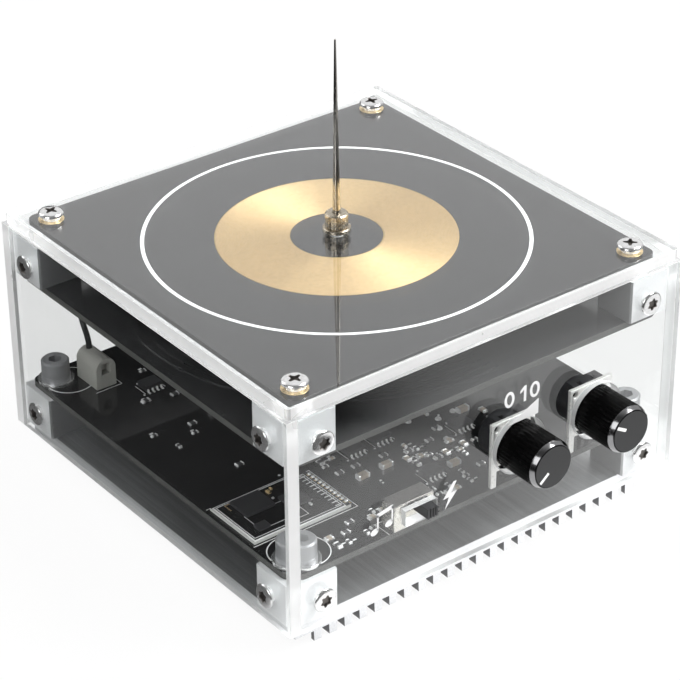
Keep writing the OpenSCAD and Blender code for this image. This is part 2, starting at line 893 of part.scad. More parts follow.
module main_board() {
    color([0.09, 0.09, 0.1])
        difference() {
            large_board(main_board_z, bolt_hole_r);
            board_leg_holes();
        }
}

module board_washers() {
    color("silver")
        at_corners()
            translate([0, 0, main_top_z])
                difference() {
                    cylinder(h = washer_t, r = washer_r);
                    translate([0, 0, -cut])
                        cylinder(h = washer_t + 2 * cut, r = washer_hole_r, $fn = small_fn);
                }
}

module board_spring_washers() {
    color("darkgray")
        at_corners()
            translate([0, 0, main_top_z + washer_t])
                difference() {
                    cylinder(h = spring_washer_t, r = spring_washer_r);
                    translate([0, 0, -cut])
                        cylinder(h = spring_washer_t + 2 * cut, r = washer_hole_r, $fn = small_fn);
                    translate([0, -spring_split_w / 2, -cut])
                        cube([spring_washer_r + cut, spring_split_w, spring_washer_t + 2 * cut]);
                }
}

// Socket-head bolts that clamp the main board to the lower blocks
module board_bolts() {
    color("silver")
        at_corners()
            translate([0, 0, bolt_seat_z])
                difference() {
                    union() {
                        rotate_extrude()
                            polygon([
                                [0, 0], [bolt_head_r, 0], [bolt_head_r, bolt_head_h - holder_chamfer],
                                [bolt_head_r - holder_chamfer, bolt_head_h], [0, bolt_head_h]
                            ]);
                        translate([0, 0, -bolt_l])
                            cylinder(h = bolt_l, r = bolt_r, $fn = small_fn);
                    }
                    translate([0, 0, bolt_head_h - bolt_socket_h])
                        linear_extrude(height = bolt_socket_h + cut)
                            hexagon(bolt_socket_af);
                }
}

// Depth along the case of the transistors' screw holes
function transistor_hole_y() = transistor_y + transistor_l / 2 - transistor_l * transistor_hole_share;

// Repeats its children on the two transistors, from the pads' underside up
module at_transistors() {
    for (sx = [-1, 1])
        translate([sx * transistor_x, transistor_y, sink_z])
            children();
}

module power_transistors() {
    color([0.13, 0.13, 0.14])
        at_transistors()
            difference() {
                translate([-transistor_w / 2, -transistor_l / 2, pad_t])
                    cube([transistor_w, transistor_l, transistor_t]);
                translate([0, transistor_hole_y() - transistor_y, 0])
                    cylinder(h = pad_t + transistor_t + cut, r = transistor_hole_r, $fn = small_fn);
            }
}

module transistor_pads() {
    color("lightsteelblue")
        at_transistors()
            difference() {
                translate([-transistor_w / 2 - pad_margin, -transistor_l / 2 - pad_margin, 0])
                    cube([transistor_w + 2 * pad_margin, transistor_l + 2 * pad_margin, pad_t]);
                translate([0, transistor_hole_y() - transistor_y, -cut])
                    cylinder(h = pad_t + 2 * cut, r = transistor_hole_r, $fn = small_fn);
            }
}

// Three bent legs a transistor, out of its front and up to the main board
module transistor_legs() {
    color("silver")
        at_transistors()
            for (k = [-1, 0, 1])
                translate([k * leg_pitch - leg_w / 2, -transistor_l / 2, 0]) {
                    leg_z = pad_t + transistor_t / 2;
                    translate([0, -leg_reach, leg_z])
                        cube([leg_w, leg_reach, leg_t]);
                    translate([0, -leg_reach, leg_z])
                        cube([leg_w, leg_t, lower_block_h - leg_z]);
                }
}

module transistor_screws() {
    color("silver")
        for (sx = [-1, 1])
            translate([sx * transistor_x, transistor_hole_y(), sink_z + pad_t + transistor_t])
                pan_screw(transistor_head_r, transistor_head_h, screw_r,
                    pad_t + transistor_t + transistor_screw_grip);
}

module radio_module() {
    color([0.06, 0.08, 0.1])
        translate([module_x, module_y, main_top_z])
            cube([module_w, module_d, module_t]);
}

// The module's shielded radio, its processor and its crystal
module module_parts() {
    color([0.15, 0.15, 0.16])
        translate([module_x, module_y, main_top_z + module_t]) {
            translate([module_w / 2 - module_shield_w, module_d / 2, 0])
                cube([module_shield_w, module_shield_d, module_shield_h]);
            translate([module_w / 2 + module_chip_w / 2, module_d / 2 - module_chip_w / 2, 0])
                cube([module_chip_w, module_chip_w, module_chip_h]);
            translate([crystal_w, crystal_d, 0])
                cube([crystal_w, crystal_d, crystal_h]);
        }
}

module small_chips() {
    color([0.12, 0.12, 0.13])
        for (p = board_half * chip_place_shares)
            translate([p[0] - chip_w / 2, p[1] - chip_d / 2, main_top_z + chip_gap])
                cube([chip_w, chip_d, chip_h - chip_gap]);
}

// Four gull-wing leads on each long side of every chip
module chip_leads() {
    color("silver")
        for (p = board_half * chip_place_shares, side = [-1, 1], k = [-1.5:1:1.5])
            translate([p[0] + k * chip_lead_pitch, p[1], main_top_z])
                mirror([0, side < 0 ? 1 : 0, 0])
                    rotate([90, 0, 90])
                        linear_extrude(height = chip_lead_w, center = true)
                            polygon([
                                [chip_d / 2, chip_h / 2], [chip_d / 2 + chip_lead_t, chip_h / 2],
                                [chip_d / 2 + 2 * chip_lead_t, chip_lead_t],
                                [chip_d / 2 + chip_lead_l, chip_lead_t], [chip_d / 2 + chip_lead_l, 0],
                                [chip_d / 2 + chip_lead_t, 0], [chip_d / 2, chip_lead_t * 2]
                            ]);
}

// Small blocks standing on the main board, at shares of its half width
module board_blocks(place_shares, length, width, height) {
    for (p = board_half * place_shares)
        translate([p[0] - length / 2, p[1] - width / 2, main_top_z])
            cube([length, width, height]);
}

module ceramic_capacitors() {
    color("peru")
        board_blocks(capacitor_place_shares, capacitor_l, capacitor_w, capacitor_h);
}

module resistors() {
    color("gray")
        board_blocks(resistor_place_shares, resistor_l, resistor_w, resistor_h);
}

// The switch's bent shell: open below, with the lever's slot in its front
module switch_shell() {
    color("silver")
        difference() {
            translate([switch_x - switch_w / 2, switch_front_y, main_top_z])
                cube([switch_w, switch_d, switch_h]);
            translate([switch_x - switch_w / 2 + shell_wall, switch_front_y + shell_wall,
                lever_z - lever_shoe_h / 2 - lever_clear])
                cube([switch_w - 2 * shell_wall, switch_d - 2 * shell_wall, lever_shoe_h + 2 * lever_clear]);
            translate([switch_x - (switch_travel + lever_w) / 2 - lever_clear, switch_front_y - cut,
                lever_z - lever_h / 2 - lever_clear])
                cube([switch_travel + lever_w + 2 * lever_clear, shell_wall + 2 * cut, lever_h + 2 * lever_clear]);
        }
}

// The lever: a shoe inside the shell, and a grooved finger out through the window
module switch_lever() {
    color([0.07, 0.07, 0.07])
        translate([lever_rest_x, 0, lever_z])
            difference() {
                union() {
                    translate([-lever_shoe_w / 2, switch_front_y + shell_wall + lever_clear, -lever_shoe_h / 2])
                        cube([lever_shoe_w, lever_shoe_d, lever_shoe_h]);
                    translate([-lever_w / 2, -outer - lever_out, -lever_h / 2])
                        cube([lever_w, outer + lever_out + switch_front_y + shell_wall + lever_clear + cut,
                            lever_h]);
                }
                for (k = [-1, 0, 1])
                    translate([k * lever_w / 4 - lever_groove_w / 2, -outer - lever_out - cut,
                        -lever_h / 2 - cut])
                        cube([lever_groove_w, cut + lever_groove_depth, lever_h + 2 * cut]);
            }
}

module switch_pins() {
    color("silver")
        for (k = [-1, 0, 1])
            translate([switch_x + k * switch_pin_pitch, switch_front_y + switch_d / 2,
                main_top_z - switch_pin_l / 2])
                cube([switch_pin_w, switch_pin_w / 2, switch_pin_l], center = true);
}

// A control's black body: round can, terminal block, bush and three legs
module control_body(x) {
    color([0.1, 0.1, 0.1])
        translate([x, plate_rear_y, pot_z])
            difference() {
                union() {
                    rotate([-90, 0, 0])
                        cylinder(h = pot_body_l, r = pot_body_r);
                    difference() {
                        translate([-block_top_w / 2, 0, pot_plate_w / 2 - block_top_drop])
                            cube([block_top_w, block_top_d, block_top_drop]);
                        for (sx = [-1, 1])
                            translate([sx * block_top_w / 4 - control_notch_w / 2, -cut,
                                pot_plate_w / 2 - control_notch_w])
                                cube([control_notch_w, block_top_d / 2 + cut, control_notch_w + cut]);
                    }
                    for (k = [-1, 0, 1])
                        translate([k * control_pin_pitch - control_pin_w / 2,
                            pot_body_l / 2 - control_pin_t / 2, -pot_axis_h - board_t])
                            cube([control_pin_w, control_pin_t, pot_axis_h + board_t - pot_body_r / 2]);
                }
                rotate([-90, 0, 0])
                    translate([0, 0, -cut])
                        cylinder(h = cut + shaft_seat_l + shaft_end_gap, r = pot_shaft_r + shaft_run);
            }
}

// A control's silver front plate with its threaded bush and its two lugs
module control_plate(x) {
    color("silver")
        translate([x, plate_front_y, pot_z])
            difference() {
                union() {
                    translate([-pot_plate_w / 2, 0, -pot_plate_w / 2])
                        cube([pot_plate_w, pot_plate_t, pot_plate_w]);
                    for (sx = [-1, 1])
                        translate([sx * (pot_plate_w - plate_lug_w) / 2 - plate_lug_w / 2, 0, -pot_axis_h])
                            cube([plate_lug_w, pot_plate_t, pot_axis_h]);
                    rotate([90, 0, 0])
                        cylinder(h = pot_bush_l, r = pot_bush_r);
                }
                translate([0, pot_plate_t + cut, 0])
                    rotate([90, 0, 0])
                        cylinder(h = pot_bush_l + pot_plate_t + 2 * cut, r = pot_shaft_r + shaft_run);
                translate([-pot_plate_w * plate_corner_share, pot_plate_t + cut, pot_plate_w * plate_corner_share])
                    rotate([90, 0, 0])
                        cylinder(h = pot_plate_t + 2 * cut, r = plate_corner_hole_r, $fn = small_fn);
            }
}

// A control's nut, on its thin washer
module control_nut(x) {
    color("whitesmoke")
        translate([x, plate_front_y, pot_z])
            rotate([90, 0, 0]) {
                difference() {
                    cylinder(h = pot_washer_t, r = pot_washer_r);
                    translate([0, 0, -cut])
                        cylinder(h = pot_washer_t + 2 * cut, r = pot_bush_r + screw_clear);
                }
                translate([0, 0, pot_washer_t])
                    hex_nut(pot_nut_af, pot_nut_t, pot_bush_r + screw_clear);
            }
}

// The outline of a shaft with its flat, which the knob's bore shares
module shaft_outline() {
    intersection() {
        circle(r = pot_shaft_r);
        translate([-pot_shaft_r, -pot_shaft_r])
            square([2 * pot_shaft_r, pot_shaft_r * (1 + flat_share)]);
    }
}

// Puts its children on a control's axis, turned to its mark, +Z out of the front
module on_control(x, mark_deg) {
    translate([x, 0, pot_z])
        rotate([0, mark_deg, 0])
            rotate([90, 0, 0])
                children();
}

// A control's shaft: round in the bush, with a flat inside the knob
module control_shaft(x, mark_deg) {
    color("silver")
        on_control(x, mark_deg) {
            translate([0, 0, -plate_rear_y - shaft_seat_l])
                cylinder(h = shaft_seat_l + plate_rear_y - bush_front_y, r = pot_shaft_r);
            translate([0, 0, -bush_front_y])
                linear_extrude(height = bush_front_y - knob_rear_y + knob_bore_l)
                    shaft_outline();
        }
}

// A fluted knob with a smooth skirt, a chamfered front and a bore with a flat
module control_knob(x, mark_deg) {
    chamfer_z = knob_l - knob_chamfer_l;
    color([0.05, 0.05, 0.05])
        on_control(x, mark_deg)
            translate([0, 0, -knob_rear_y])
                difference() {
                    union() {
                        cylinder(h = knob_skirt_l, r = knob_r);
                        translate([0, 0, knob_skirt_l])
                            linear_extrude(height = chamfer_z - knob_skirt_l)
                                difference() {
                                    circle(r = knob_r);
                                    for (i = [0:knob_flutes - 1])
                                        rotate(360 * i / knob_flutes)
                                            translate([knob_r + flute_depth, 0])
                                                circle(r = 2 * flute_depth, $fn = small_fn);
                                }
                        translate([0, 0, chamfer_z])
                            cylinder(h = knob_chamfer_l, r1 = knob_r - flute_depth, r2 = knob_r - knob_chamfer);
                    }
                    translate([0, 0, -cut])
                        cylinder(h = cut + knob_recess_l, r = knob_recess_r);
                    linear_extrude(height = knob_bore_l)
                        shaft_outline();
                    translate([0, 0, knob_l - cap_t])
                        cylinder(h = cap_t + cut, r = cap_r);
                }
}

// The slot that the mark fills, from near the middle to the cap's rim
module mark_slot(height) {
    translate([-mark_w / 2, mark_in, 0])
        cube([mark_w, cap_r - mark_in - mark_out_gap, height]);
}

// The grey disc set in a knob's front
module knob_cap(x, mark_deg) {
    color([0.35, 0.35, 0.36])
        on_control(x, mark_deg)
            translate([0, 0, -knob_front_y - cap_t])
                difference() {
                    cylinder(h = cap_t + cap_proud, r = cap_r);
                    translate([0, 0, cap_t + cap_proud - mark_depth])
                        mark_slot(mark_depth + cut);
                }
}

module knob_mark(x, mark_deg) {
    color("white")
        on_control(x, mark_deg)
            translate([0, 0, -knob_front_y + cap_proud - mark_depth])
                mark_slot(mark_depth);
}

// The white arched terminal that the black lead leaves upward
module lead_terminal() {
    arch_r = terminal_w / 2;
    color("ivory")
        translate([terminal_x, terminal_y, main_top_z])
            difference() {
                rotate([90, 0, 0])
                    linear_extrude(height = terminal_l, center = true)
                        union() {
                            translate([-arch_r, 0])
                                square([terminal_w, terminal_h - arch_r]);
                            translate([0, terminal_h - arch_r])
                                circle(r = arch_r);
                        }
                translate([-terminal_slot_w / 2, -terminal_l / 2 - cut, terminal_h - arch_r - terminal_slot_h / 2])
                    cube([terminal_slot_w, terminal_l / 4 + cut, terminal_slot_h]);
                translate([0, lead_seat_l, lead_seat_h])
                    cylinder(h = terminal_h, r = lead_d / 2 + screw_clear, $fn = small_fn);
            }
}

// A point on a smooth curve through b and c, with a and d as its neighbours
function curve_point(a, b, c, d, t) =
    0.5 * (2 * b + (c - a) * t + (2 * a - 5 * b + 4 * c - d) * t * t + (3 * b - a - 3 * c + d) * t * t * t);

// A route's points, smoothed to a number of steps for each of its stretches
function smooth_route(route, steps) =
    let (n = len(route) - 1)
        concat([for (i = [0:n - 1], s = [0:steps - 1])
            curve_point(route[max(i - 1, 0)], route[i], route[i + 1], route[min(i + 2, n)], s / steps)],
            [route[n]]);

// A round tube whose rings stay level, for a lead that runs nearly upright
module upright_tube(path, diameter, sides) {
    last = len(path) - 1;
    points = [for (p = path, k = [0:sides - 1])
        p + diameter / 2 * [cos(360 * k / sides), sin(360 * k / sides), 0]];
    walls = [for (i = [0:last - 1], k = [0:sides - 1], half = [0, 1])
        let (a = i * sides + k, b = i * sides + (k + 1) % sides)
            half == 0 ? [a, a + sides, b] : [b, a + sides, b + sides]];
    foot = [for (k = [1:sides - 2]) [0, k, k + 1]];
    head = [for (k = [1:sides - 2]) [last * sides, last * sides + k + 1, last * sides + k]];
    polyhedron(points, concat(walls, foot, head));
}

module coil_lead() {
    color([0.08, 0.08, 0.08])
        upright_tube(smooth_route(lead_route, lead_steps), lead_d, lead_sides);
}

// The power inlet: a moulded block with a round nose and the plug's socket
module power_inlet() {
    color([0.1, 0.1, 0.1])
        translate([inlet_x, inlet_front_y, main_top_z + inlet_axis_h])
            difference() {
                union() {
                    translate([-inlet_w / 2, -inlet_l, -inlet_axis_h])
                        cube([inlet_w, inlet_l - inlet_nose_l, inlet_h - inlet_shoulder]);
                    translate([-inlet_w / 2, -inlet_nose_l, -inlet_axis_h])
                        cube([inlet_w, inlet_nose_l, inlet_h]);
                }
                rotate([90, 0, 0])
                    translate([0, 0, -cut])
                        cylinder(h = inlet_bore_l + cut, r = inlet_bore_r);
            }
}

module power_inlet_pin() {
    color("silver")
        translate([inlet_x, inlet_front_y - inlet_bore_l, main_top_z + inlet_axis_h])
            rotate([-90, 0, 0])
                cylinder(h = inlet_pin_l, r = inlet_pin_r, $fn = small_fn);
}

heatsink();
base_screws();
lower_corner_blocks();
upper_corner_blocks();
front_panel();
left_panel();
rear_panel();
right_panel();
top_plate();
side_screws(0);  // front_screws
side_screws(-90);  // left_screws
side_screws(180);  // rear_screws
side_screws(90);  // right_screws
top_screws();
coil_board_pads();
coil_board();
secondary_coil();
primary_board();
primary_coil();
primary_board_screws();
needle();
needle_holder();
needle_stud_nut();
main_board();
board_washers();
board_spring_washers();
board_bolts();
power_transistors();
transistor_pads();
transistor_legs();
transistor_screws();
radio_module();
module_parts();
small_chips();
chip_leads();
ceramic_capacitors();
resistors();
switch_shell();
switch_lever();
switch_pins();
control_body(left_pot_x);  // left_control
control_plate(left_pot_x);  // left_control_plate
control_nut(left_pot_x);  // left_control_nut
control_shaft(left_pot_x, left_mark_deg);  // left_shaft
control_knob(left_pot_x, left_mark_deg);  // left_knob
knob_cap(left_pot_x, left_mark_deg);  // left_knob_cap
knob_mark(left_pot_x, left_mark_deg);  // left_knob_mark
control_body(right_pot_x);  // right_control
control_plate(right_pot_x);  // right_control_plate
control_nut(right_pot_x);  // right_control_nut
control_shaft(right_pot_x, right_mark_deg);  // right_shaft
control_knob(right_pot_x, right_mark_deg);  // right_knob
knob_cap(right_pot_x, right_mark_deg);  // right_knob_cap
knob_mark(right_pot_x, right_mark_deg);  // right_knob_mark
lead_terminal();
coil_lead();
power_inlet();
power_inlet_pin();
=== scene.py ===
import math
import random
import bpy
import bmesh
from mathutils import Matrix, Vector


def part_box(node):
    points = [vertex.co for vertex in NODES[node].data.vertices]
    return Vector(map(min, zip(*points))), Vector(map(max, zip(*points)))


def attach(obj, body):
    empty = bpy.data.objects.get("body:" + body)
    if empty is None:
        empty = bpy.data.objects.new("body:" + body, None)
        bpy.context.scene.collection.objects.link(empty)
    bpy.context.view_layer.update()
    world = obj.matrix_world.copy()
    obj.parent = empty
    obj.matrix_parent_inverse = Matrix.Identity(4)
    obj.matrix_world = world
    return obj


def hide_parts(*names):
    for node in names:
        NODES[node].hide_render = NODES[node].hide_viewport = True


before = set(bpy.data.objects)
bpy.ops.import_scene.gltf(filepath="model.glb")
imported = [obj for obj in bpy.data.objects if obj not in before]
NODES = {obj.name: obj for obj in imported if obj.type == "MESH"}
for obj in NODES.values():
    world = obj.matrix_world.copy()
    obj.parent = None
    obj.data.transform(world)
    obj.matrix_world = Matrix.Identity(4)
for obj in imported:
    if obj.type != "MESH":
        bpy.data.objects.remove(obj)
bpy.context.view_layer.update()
MM = 0.001
rnd = random.Random(7)

# Camera: fitted to the case's corners, the rings and the needle in the photograph. Angles are in degrees and
# lengths in millimetres; AIM is a shift to the right and up in the picture, and a height.
PHOTO_PX, FOCAL_PX = 680, 2579.9
AZ, EL, ROLL, DIST = -37.323, 30.783, -0.491, 609.12
AIM = (0.558, -26.114, 66.75)
SENSOR_MM = 36


def make_camera():
    a, e, r = math.radians(AZ), math.radians(EL), math.radians(ROLL)
    back = Vector((math.sin(a) * math.cos(e), -math.cos(a) * math.cos(e), math.sin(e)))
    right = (-back).cross(Vector((0, 0, 1))).normalized()
    up = right.cross(-back)
    place = Vector((0, 0, AIM[2])) + AIM[0] * right + AIM[1] * up + back * DIST
    right2 = math.cos(r) * right + math.sin(r) * up
    up2 = -math.sin(r) * right + math.cos(r) * up
    data = bpy.data.cameras.new("camera")
    data.sensor_width = SENSOR_MM
    data.sensor_fit = "HORIZONTAL"
    data.lens = FOCAL_PX / PHOTO_PX * SENSOR_MM
    data.clip_start, data.clip_end = 0.01, 20
    cam = bpy.data.objects.new("camera", data)
    bpy.context.scene.collection.objects.link(cam)
    turn = Matrix((right2, up2, back)).transposed()
    cam.matrix_world = Matrix.Translation(place * MM) @ turn.to_4x4()
    bpy.context.scene.camera = cam


make_camera()

# Materials


class Tree:
    """A new material's nodes, with short ways to add and join them."""

    def __init__(self, name):
        self.m = bpy.data.materials.new(name)
        self.m.use_nodes = True
        self.t = self.m.node_tree
        self.t.nodes.clear()
        self.out = self.add("ShaderNodeOutputMaterial")
        self.coord = None

    def add(self, kind, **values):
        n = self.t.nodes.new(kind)
        for k, v in values.items():
            setattr(n, k, v)
        return n

    def link(self, a, b):
        self.t.links.new(a, b)

    def place(self, scale=(1, 1, 1)):
        """Object coordinates, in metres, scaled."""
        if self.coord is None:
            self.coord = self.add("ShaderNodeTexCoord")
        n = self.add("ShaderNodeMapping")
        n.inputs["Scale"].default_value = scale
        self.link(self.coord.outputs["Object"], n.inputs["Vector"])
        return n.outputs["Vector"]

    def noise(self, size_mm, scale=(1, 1, 1), detail=3.0):
        n = self.add("ShaderNodeTexNoise")
        n.inputs["Scale"].default_value = 1000 / size_mm
        n.inputs["Detail"].default_value = detail
        n.inputs["Roughness"].default_value = 0.55
        self.link(self.place(scale), n.inputs["Vector"])
        return n.outputs["Fac"]

    def spread(self, fac, lo, hi, from_lo=0.3, from_hi=0.7):
        n = self.add("ShaderNodeMapRange")
        n.inputs["From Min"].default_value = from_lo
        n.inputs["From Max"].default_value = from_hi
        n.inputs["To Min"].default_value = lo
        n.inputs["To Max"].default_value = hi
        self.link(fac, n.inputs["Value"])
        return n.outputs["Result"]

    def ramp(self, fac, stops):
        n = self.add("ShaderNodeValToRGB")
        r = n.color_ramp
        while len(r.elements) < len(stops):
            r.elements.new(0.5)
        for e, (pos, col) in zip(r.elements, stops):
            e.position = pos
            e.color = (*col, 1)
        self.link(fac, n.inputs["Fac"])
        return n.outputs["Color"]

    def bump(self, fac, height_mm, strength=1.0):
        n = self.add("ShaderNodeBump")
        n.inputs["Distance"].default_value = height_mm * MM
        n.inputs["Strength"].default_value = strength
        self.link(fac, n.inputs["Height"])
        return n.outputs["Normal"]


def surface(name, base, metallic, rough, vary, grain_mm, tone, bump_mm=0.0, grain=(1, 1, 1), spec=0.5):
    """A Principled finish whose tone and roughness drift with a fine noise, stretched by grain."""
    t = Tree(name)
    p = t.add("ShaderNodeBsdfPrincipled")
    t.link(p.outputs["BSDF"], t.out.inputs["Surface"])
    p.inputs["Metallic"].default_value = metallic
    p.inputs["Specular IOR Level"].default_value = spec
    fac = t.noise(grain_mm, grain)
    lo = tuple(max(c * (1 - tone), 0) for c in base)
    hi = tuple(min(c * (1 + tone), 1) for c in base)
    t.link(t.ramp(fac, [(0.3, lo), (0.7, hi)]), p.inputs["Base Color"])
    t.link(t.spread(fac, max(rough - vary, 0.02), min(rough + vary, 1)), p.inputs["Roughness"])
    if bump_mm:
        t.link(t.bump(fac, bump_mm), p.inputs["Normal"])
    return t.m


ACRYLIC_IOR = 1.49


def let_lamps_through(t, shader, tint=(0.96, 0.98, 0.98)):
    """Glass that casts only a faint shadow."""
    path = t.add("ShaderNodeLightPath")
    clear = t.add("ShaderNodeBsdfTransparent")
    clear.inputs["Color"].default_value = (*tint, 1)
    mix = t.add("ShaderNodeMixShader")
    t.link(path.outputs["Is Shadow Ray"], mix.inputs[0])
    t.link(shader, mix.inputs[1])
    t.link(clear.outputs["BSDF"], mix.inputs[2])
    t.link(mix.outputs["Shader"], t.out.inputs["Surface"])


def clear_plastic(name):
    """Polished cast acrylic: clear, with a trace of smears in its gloss."""
    t = Tree(name)
    p = t.add("ShaderNodeBsdfPrincipled")
    p.inputs["Base Color"].default_value = (0.985, 0.992, 0.99, 1)
    p.inputs["Transmission Weight"].default_value = 1.0
    p.inputs["IOR"].default_value = ACRYLIC_IOR
    t.link(t.spread(t.noise(18.0, detail=4), 0.0, 0.025, 0.45, 0.75), p.inputs["Roughness"])
    let_lamps_through(t, p.outputs["BSDF"])
    return t.m


def edge_plastic(name, base, rough, through, bump_mm=0.001):
    """Sawn and drilled faces: partly frosted, with faint tool marks left in them."""
    t = Tree(name)
    p = t.add("ShaderNodeBsdfPrincipled")
    p.inputs["Transmission Weight"].default_value = through
    p.inputs["IOR"].default_value = ACRYLIC_IOR
    marks = t.noise(14.0, detail=2)
    dull, bright = (base * 0.97,) * 3, (min(base * 1.02, 1),) * 3
    t.link(t.ramp(marks, [(0.25, dull), (0.75, bright)]), p.inputs["Base Color"])
    t.link(t.spread(marks, max(rough - 0.03, 0), rough + 0.03), p.inputs["Roughness"])
    t.link(t.bump(marks, bump_mm, 0.6), p.inputs["Normal"])
    let_lamps_through(t, p.outputs["BSDF"], (0.9, 0.92, 0.92))
    return t.m


CLEAR = clear_plastic("acrylic_clear")
EDGE = edge_plastic("acrylic_edge", 0.92, 0.3, 0.36)
EDGE_TOP = edge_plastic("acrylic_upper_edge", 0.92, 0.24, 0.6)
BORE = edge_plastic("acrylic_bore", 0.95, 0.22, 0.55)

# Name, colour, metallic, roughness and its drift, the noise's grain in mm, drift of tone, bump in mm

ALU = surface("brushed_aluminium", (0.62, 0.625, 0.635), 0.9, 0.36, 0.08, 1.0, 0.14, 0.001,
              grain=(1, 0.03, 1))
ALU_FIN = surface("extruded_fins", (0.8, 0.805, 0.82), 0.7, 0.4, 0.08, 0.5, 0.08, 0.004, grain=(1, 0.02, 1))
# The flanks between the fins are a dark grey copy of the fin finish: painted shade.
ALU_PAINTED_SHADE = surface("fin_flanks_painted_shade", (0.16, 0.16, 0.165), 0.6, 0.5, 0.08, 0.5, 0.15, 0.004, grain=(1, 0.02, 1))
# Block faces that turn in to the middle: a darker copy of the block alloy, painted shade.
BLOCK_PAINTED_SHADE = surface("inner_block_faces_painted_shade", (0.34, 0.34, 0.345), 0.7, 0.4, 0.07, 0.5, 0.08, 0.006)
BLOCK = surface("cast_block_alloy", (0.88, 0.88, 0.89), 0.45, 0.38, 0.07, 0.5, 0.05, 0.006)
STEEL = surface("bright_nickel_screws", (0.8, 0.8, 0.8), 0.88, 0.16, 0.06, 0.6, 0.08)
# Dark steel for the base screws, and also painted shade in the recesses of the screw heads.
STEEL_DARK_AND_RECESS_SHADE = surface("dark_steel_and_recess_shade", (0.16, 0.15, 0.14), 1.0, 0.45, 0.1, 0.3, 0.2)
BOLT = surface("satin_bolts", (0.36, 0.36, 0.37), 0.5, 0.36, 0.08, 0.4, 0.1)
BRASS = surface("polished_brass", (0.83, 0.62, 0.28), 1.0, 0.2, 0.08, 0.5, 0.1)
NEEDLE = surface("ground_needle_steel", (0.42, 0.4, 0.37), 1.0, 0.14, 0.05, 0.3, 0.1, grain=(1, 1, 0.03))
NICKEL = surface("nickel_plate", (0.7, 0.68, 0.63), 0.95, 0.24, 0.08, 0.6, 0.08)
PLATE = surface("bright_plate", (0.84, 0.83, 0.81), 0.5, 0.34, 0.08, 0.6, 0.08)
HOLDER = surface("turned_holder", (0.5, 0.45, 0.37), 1.0, 0.27, 0.05, 0.8, 0.06)
SHELL_TOP = surface("shell_top", (0.32, 0.3, 0.29), 0.9, 0.4, 0.08, 1.0, 0.15, 0.004)
TIN = surface("tinned_leads", (0.9, 0.9, 0.9), 0.4, 0.3, 0.1, 0.4, 0.1, 0.01)
SOLDER = surface("solder", (0.9, 0.9, 0.9), 0.5, 0.2, 0.08, 0.3, 0.08, 0.01)
GOLD_GROUND = surface("gold_under_lacquer", (0.5, 0.36, 0.16), 1.0, 0.35, 0.05, 0.6, 0.1)
GOLD_PAD = surface("gold_pads", (0.9, 0.68, 0.36), 0.9, 0.3, 0.08, 0.3, 0.08)
BLACK_CASE = surface("moulded_black", (0.025, 0.025, 0.027), 0.0, 0.45, 0.08, 0.25, 0.2, 0.006)
CHIP = surface("chip_resin", (0.022, 0.022, 0.024), 0.0, 0.5, 0.08, 0.12, 0.25, 0.004)
KNOB = surface("gloss_black_knob", (0.002, 0.002, 0.002), 0.0, 0.16, 0.05, 0.5, 0.2,
               grain=(1, 1, 0.1), spec=0.05)
CAP = surface("satin_grey_cap", (0.014, 0.0145, 0.0155), 0.0, 0.42, 0.06, 0.15, 0.1, 0.003)
RIM = surface("turned_rim", (0.24, 0.24, 0.245), 1.0, 0.16, 0.05, 0.4, 0.06)
WHITE_INK = surface("white_ink", (0.74, 0.74, 0.74), 0.0, 0.5, 0.06, 0.2, 0.03, 0.002)
SILK = surface("silk_print", (0.8, 0.8, 0.8), 0.0, 0.55, 0.06, 0.2, 0.06)
MARK = surface("white_mark", (0.88, 0.88, 0.87), 0.0, 0.45, 0.06, 0.2, 0.03)
NYLON = surface("white_nylon", (0.34, 0.335, 0.31), 0.0, 0.4, 0.06, 0.6, 0.04, 0.004)
TAN = surface("tan_ceramic", (0.38, 0.32, 0.25), 0.0, 0.42, 0.06, 0.3, 0.12, 0.004)
RESISTOR = surface("resistor_body", (0.03, 0.03, 0.033), 0.0, 0.4, 0.06, 0.2, 0.2)
RUBBER = surface("lead_jacket", (0.018, 0.018, 0.018), 0.0, 0.5, 0.06, 0.2, 0.2, 0.004)
PAD_RUBBER = surface("thermal_pad", (0.4, 0.45, 0.55), 0.0, 0.7, 0.06, 0.4, 0.08, 0.01)
FLAT = (1, 1, 0.3)
EDGE_BLACK = surface("black_board_edge", (0.02, 0.02, 0.02), 0.0, 0.5, 0.08, 0.25, 0.2, 0.01, FLAT)
MODULE_EDGE = surface("module_board_edge", (0.6, 0.6, 0.58), 0.0, 0.5, 0.08, 0.25, 0.1, 0.01, FLAT)
FR4 = surface("board_edge", (0.07, 0.07, 0.066), 0.0, 0.6, 0.08, 0.25, 0.18, 0.01, FLAT)


def solder_mask(name, base, coat_rough):
    """Gloss black lacquer over copper."""
    t = Tree(name)
    p = t.add("ShaderNodeBsdfPrincipled")
    t.link(p.outputs["BSDF"], t.out.inputs["Surface"])
    p.inputs["IOR"].default_value = 1.52
    p.inputs["Coat Weight"].default_value = 0.35
    p.inputs["Coat Roughness"].default_value = coat_rough
    drift = t.noise(6.0, detail=5)
    dull, bright = (tuple(c * f for c in base) for f in (0.85, 1.2))
    t.link(t.ramp(drift, [(0.35, dull), (0.7, bright)]), p.inputs["Base Color"])
    t.link(t.spread(drift, 0.1, 0.2), p.inputs["Roughness"])
    return t.m


MASK_TOP = solder_mask("coil_board_lacquer", (0.008, 0.008, 0.009), 0.02)
MASK = solder_mask("main_board_lacquer", (0.005, 0.005, 0.0055), 0.06)
MASK_PRIMARY = solder_mask("primary_board_lacquer", (0.034, 0.034, 0.035), 0.05)


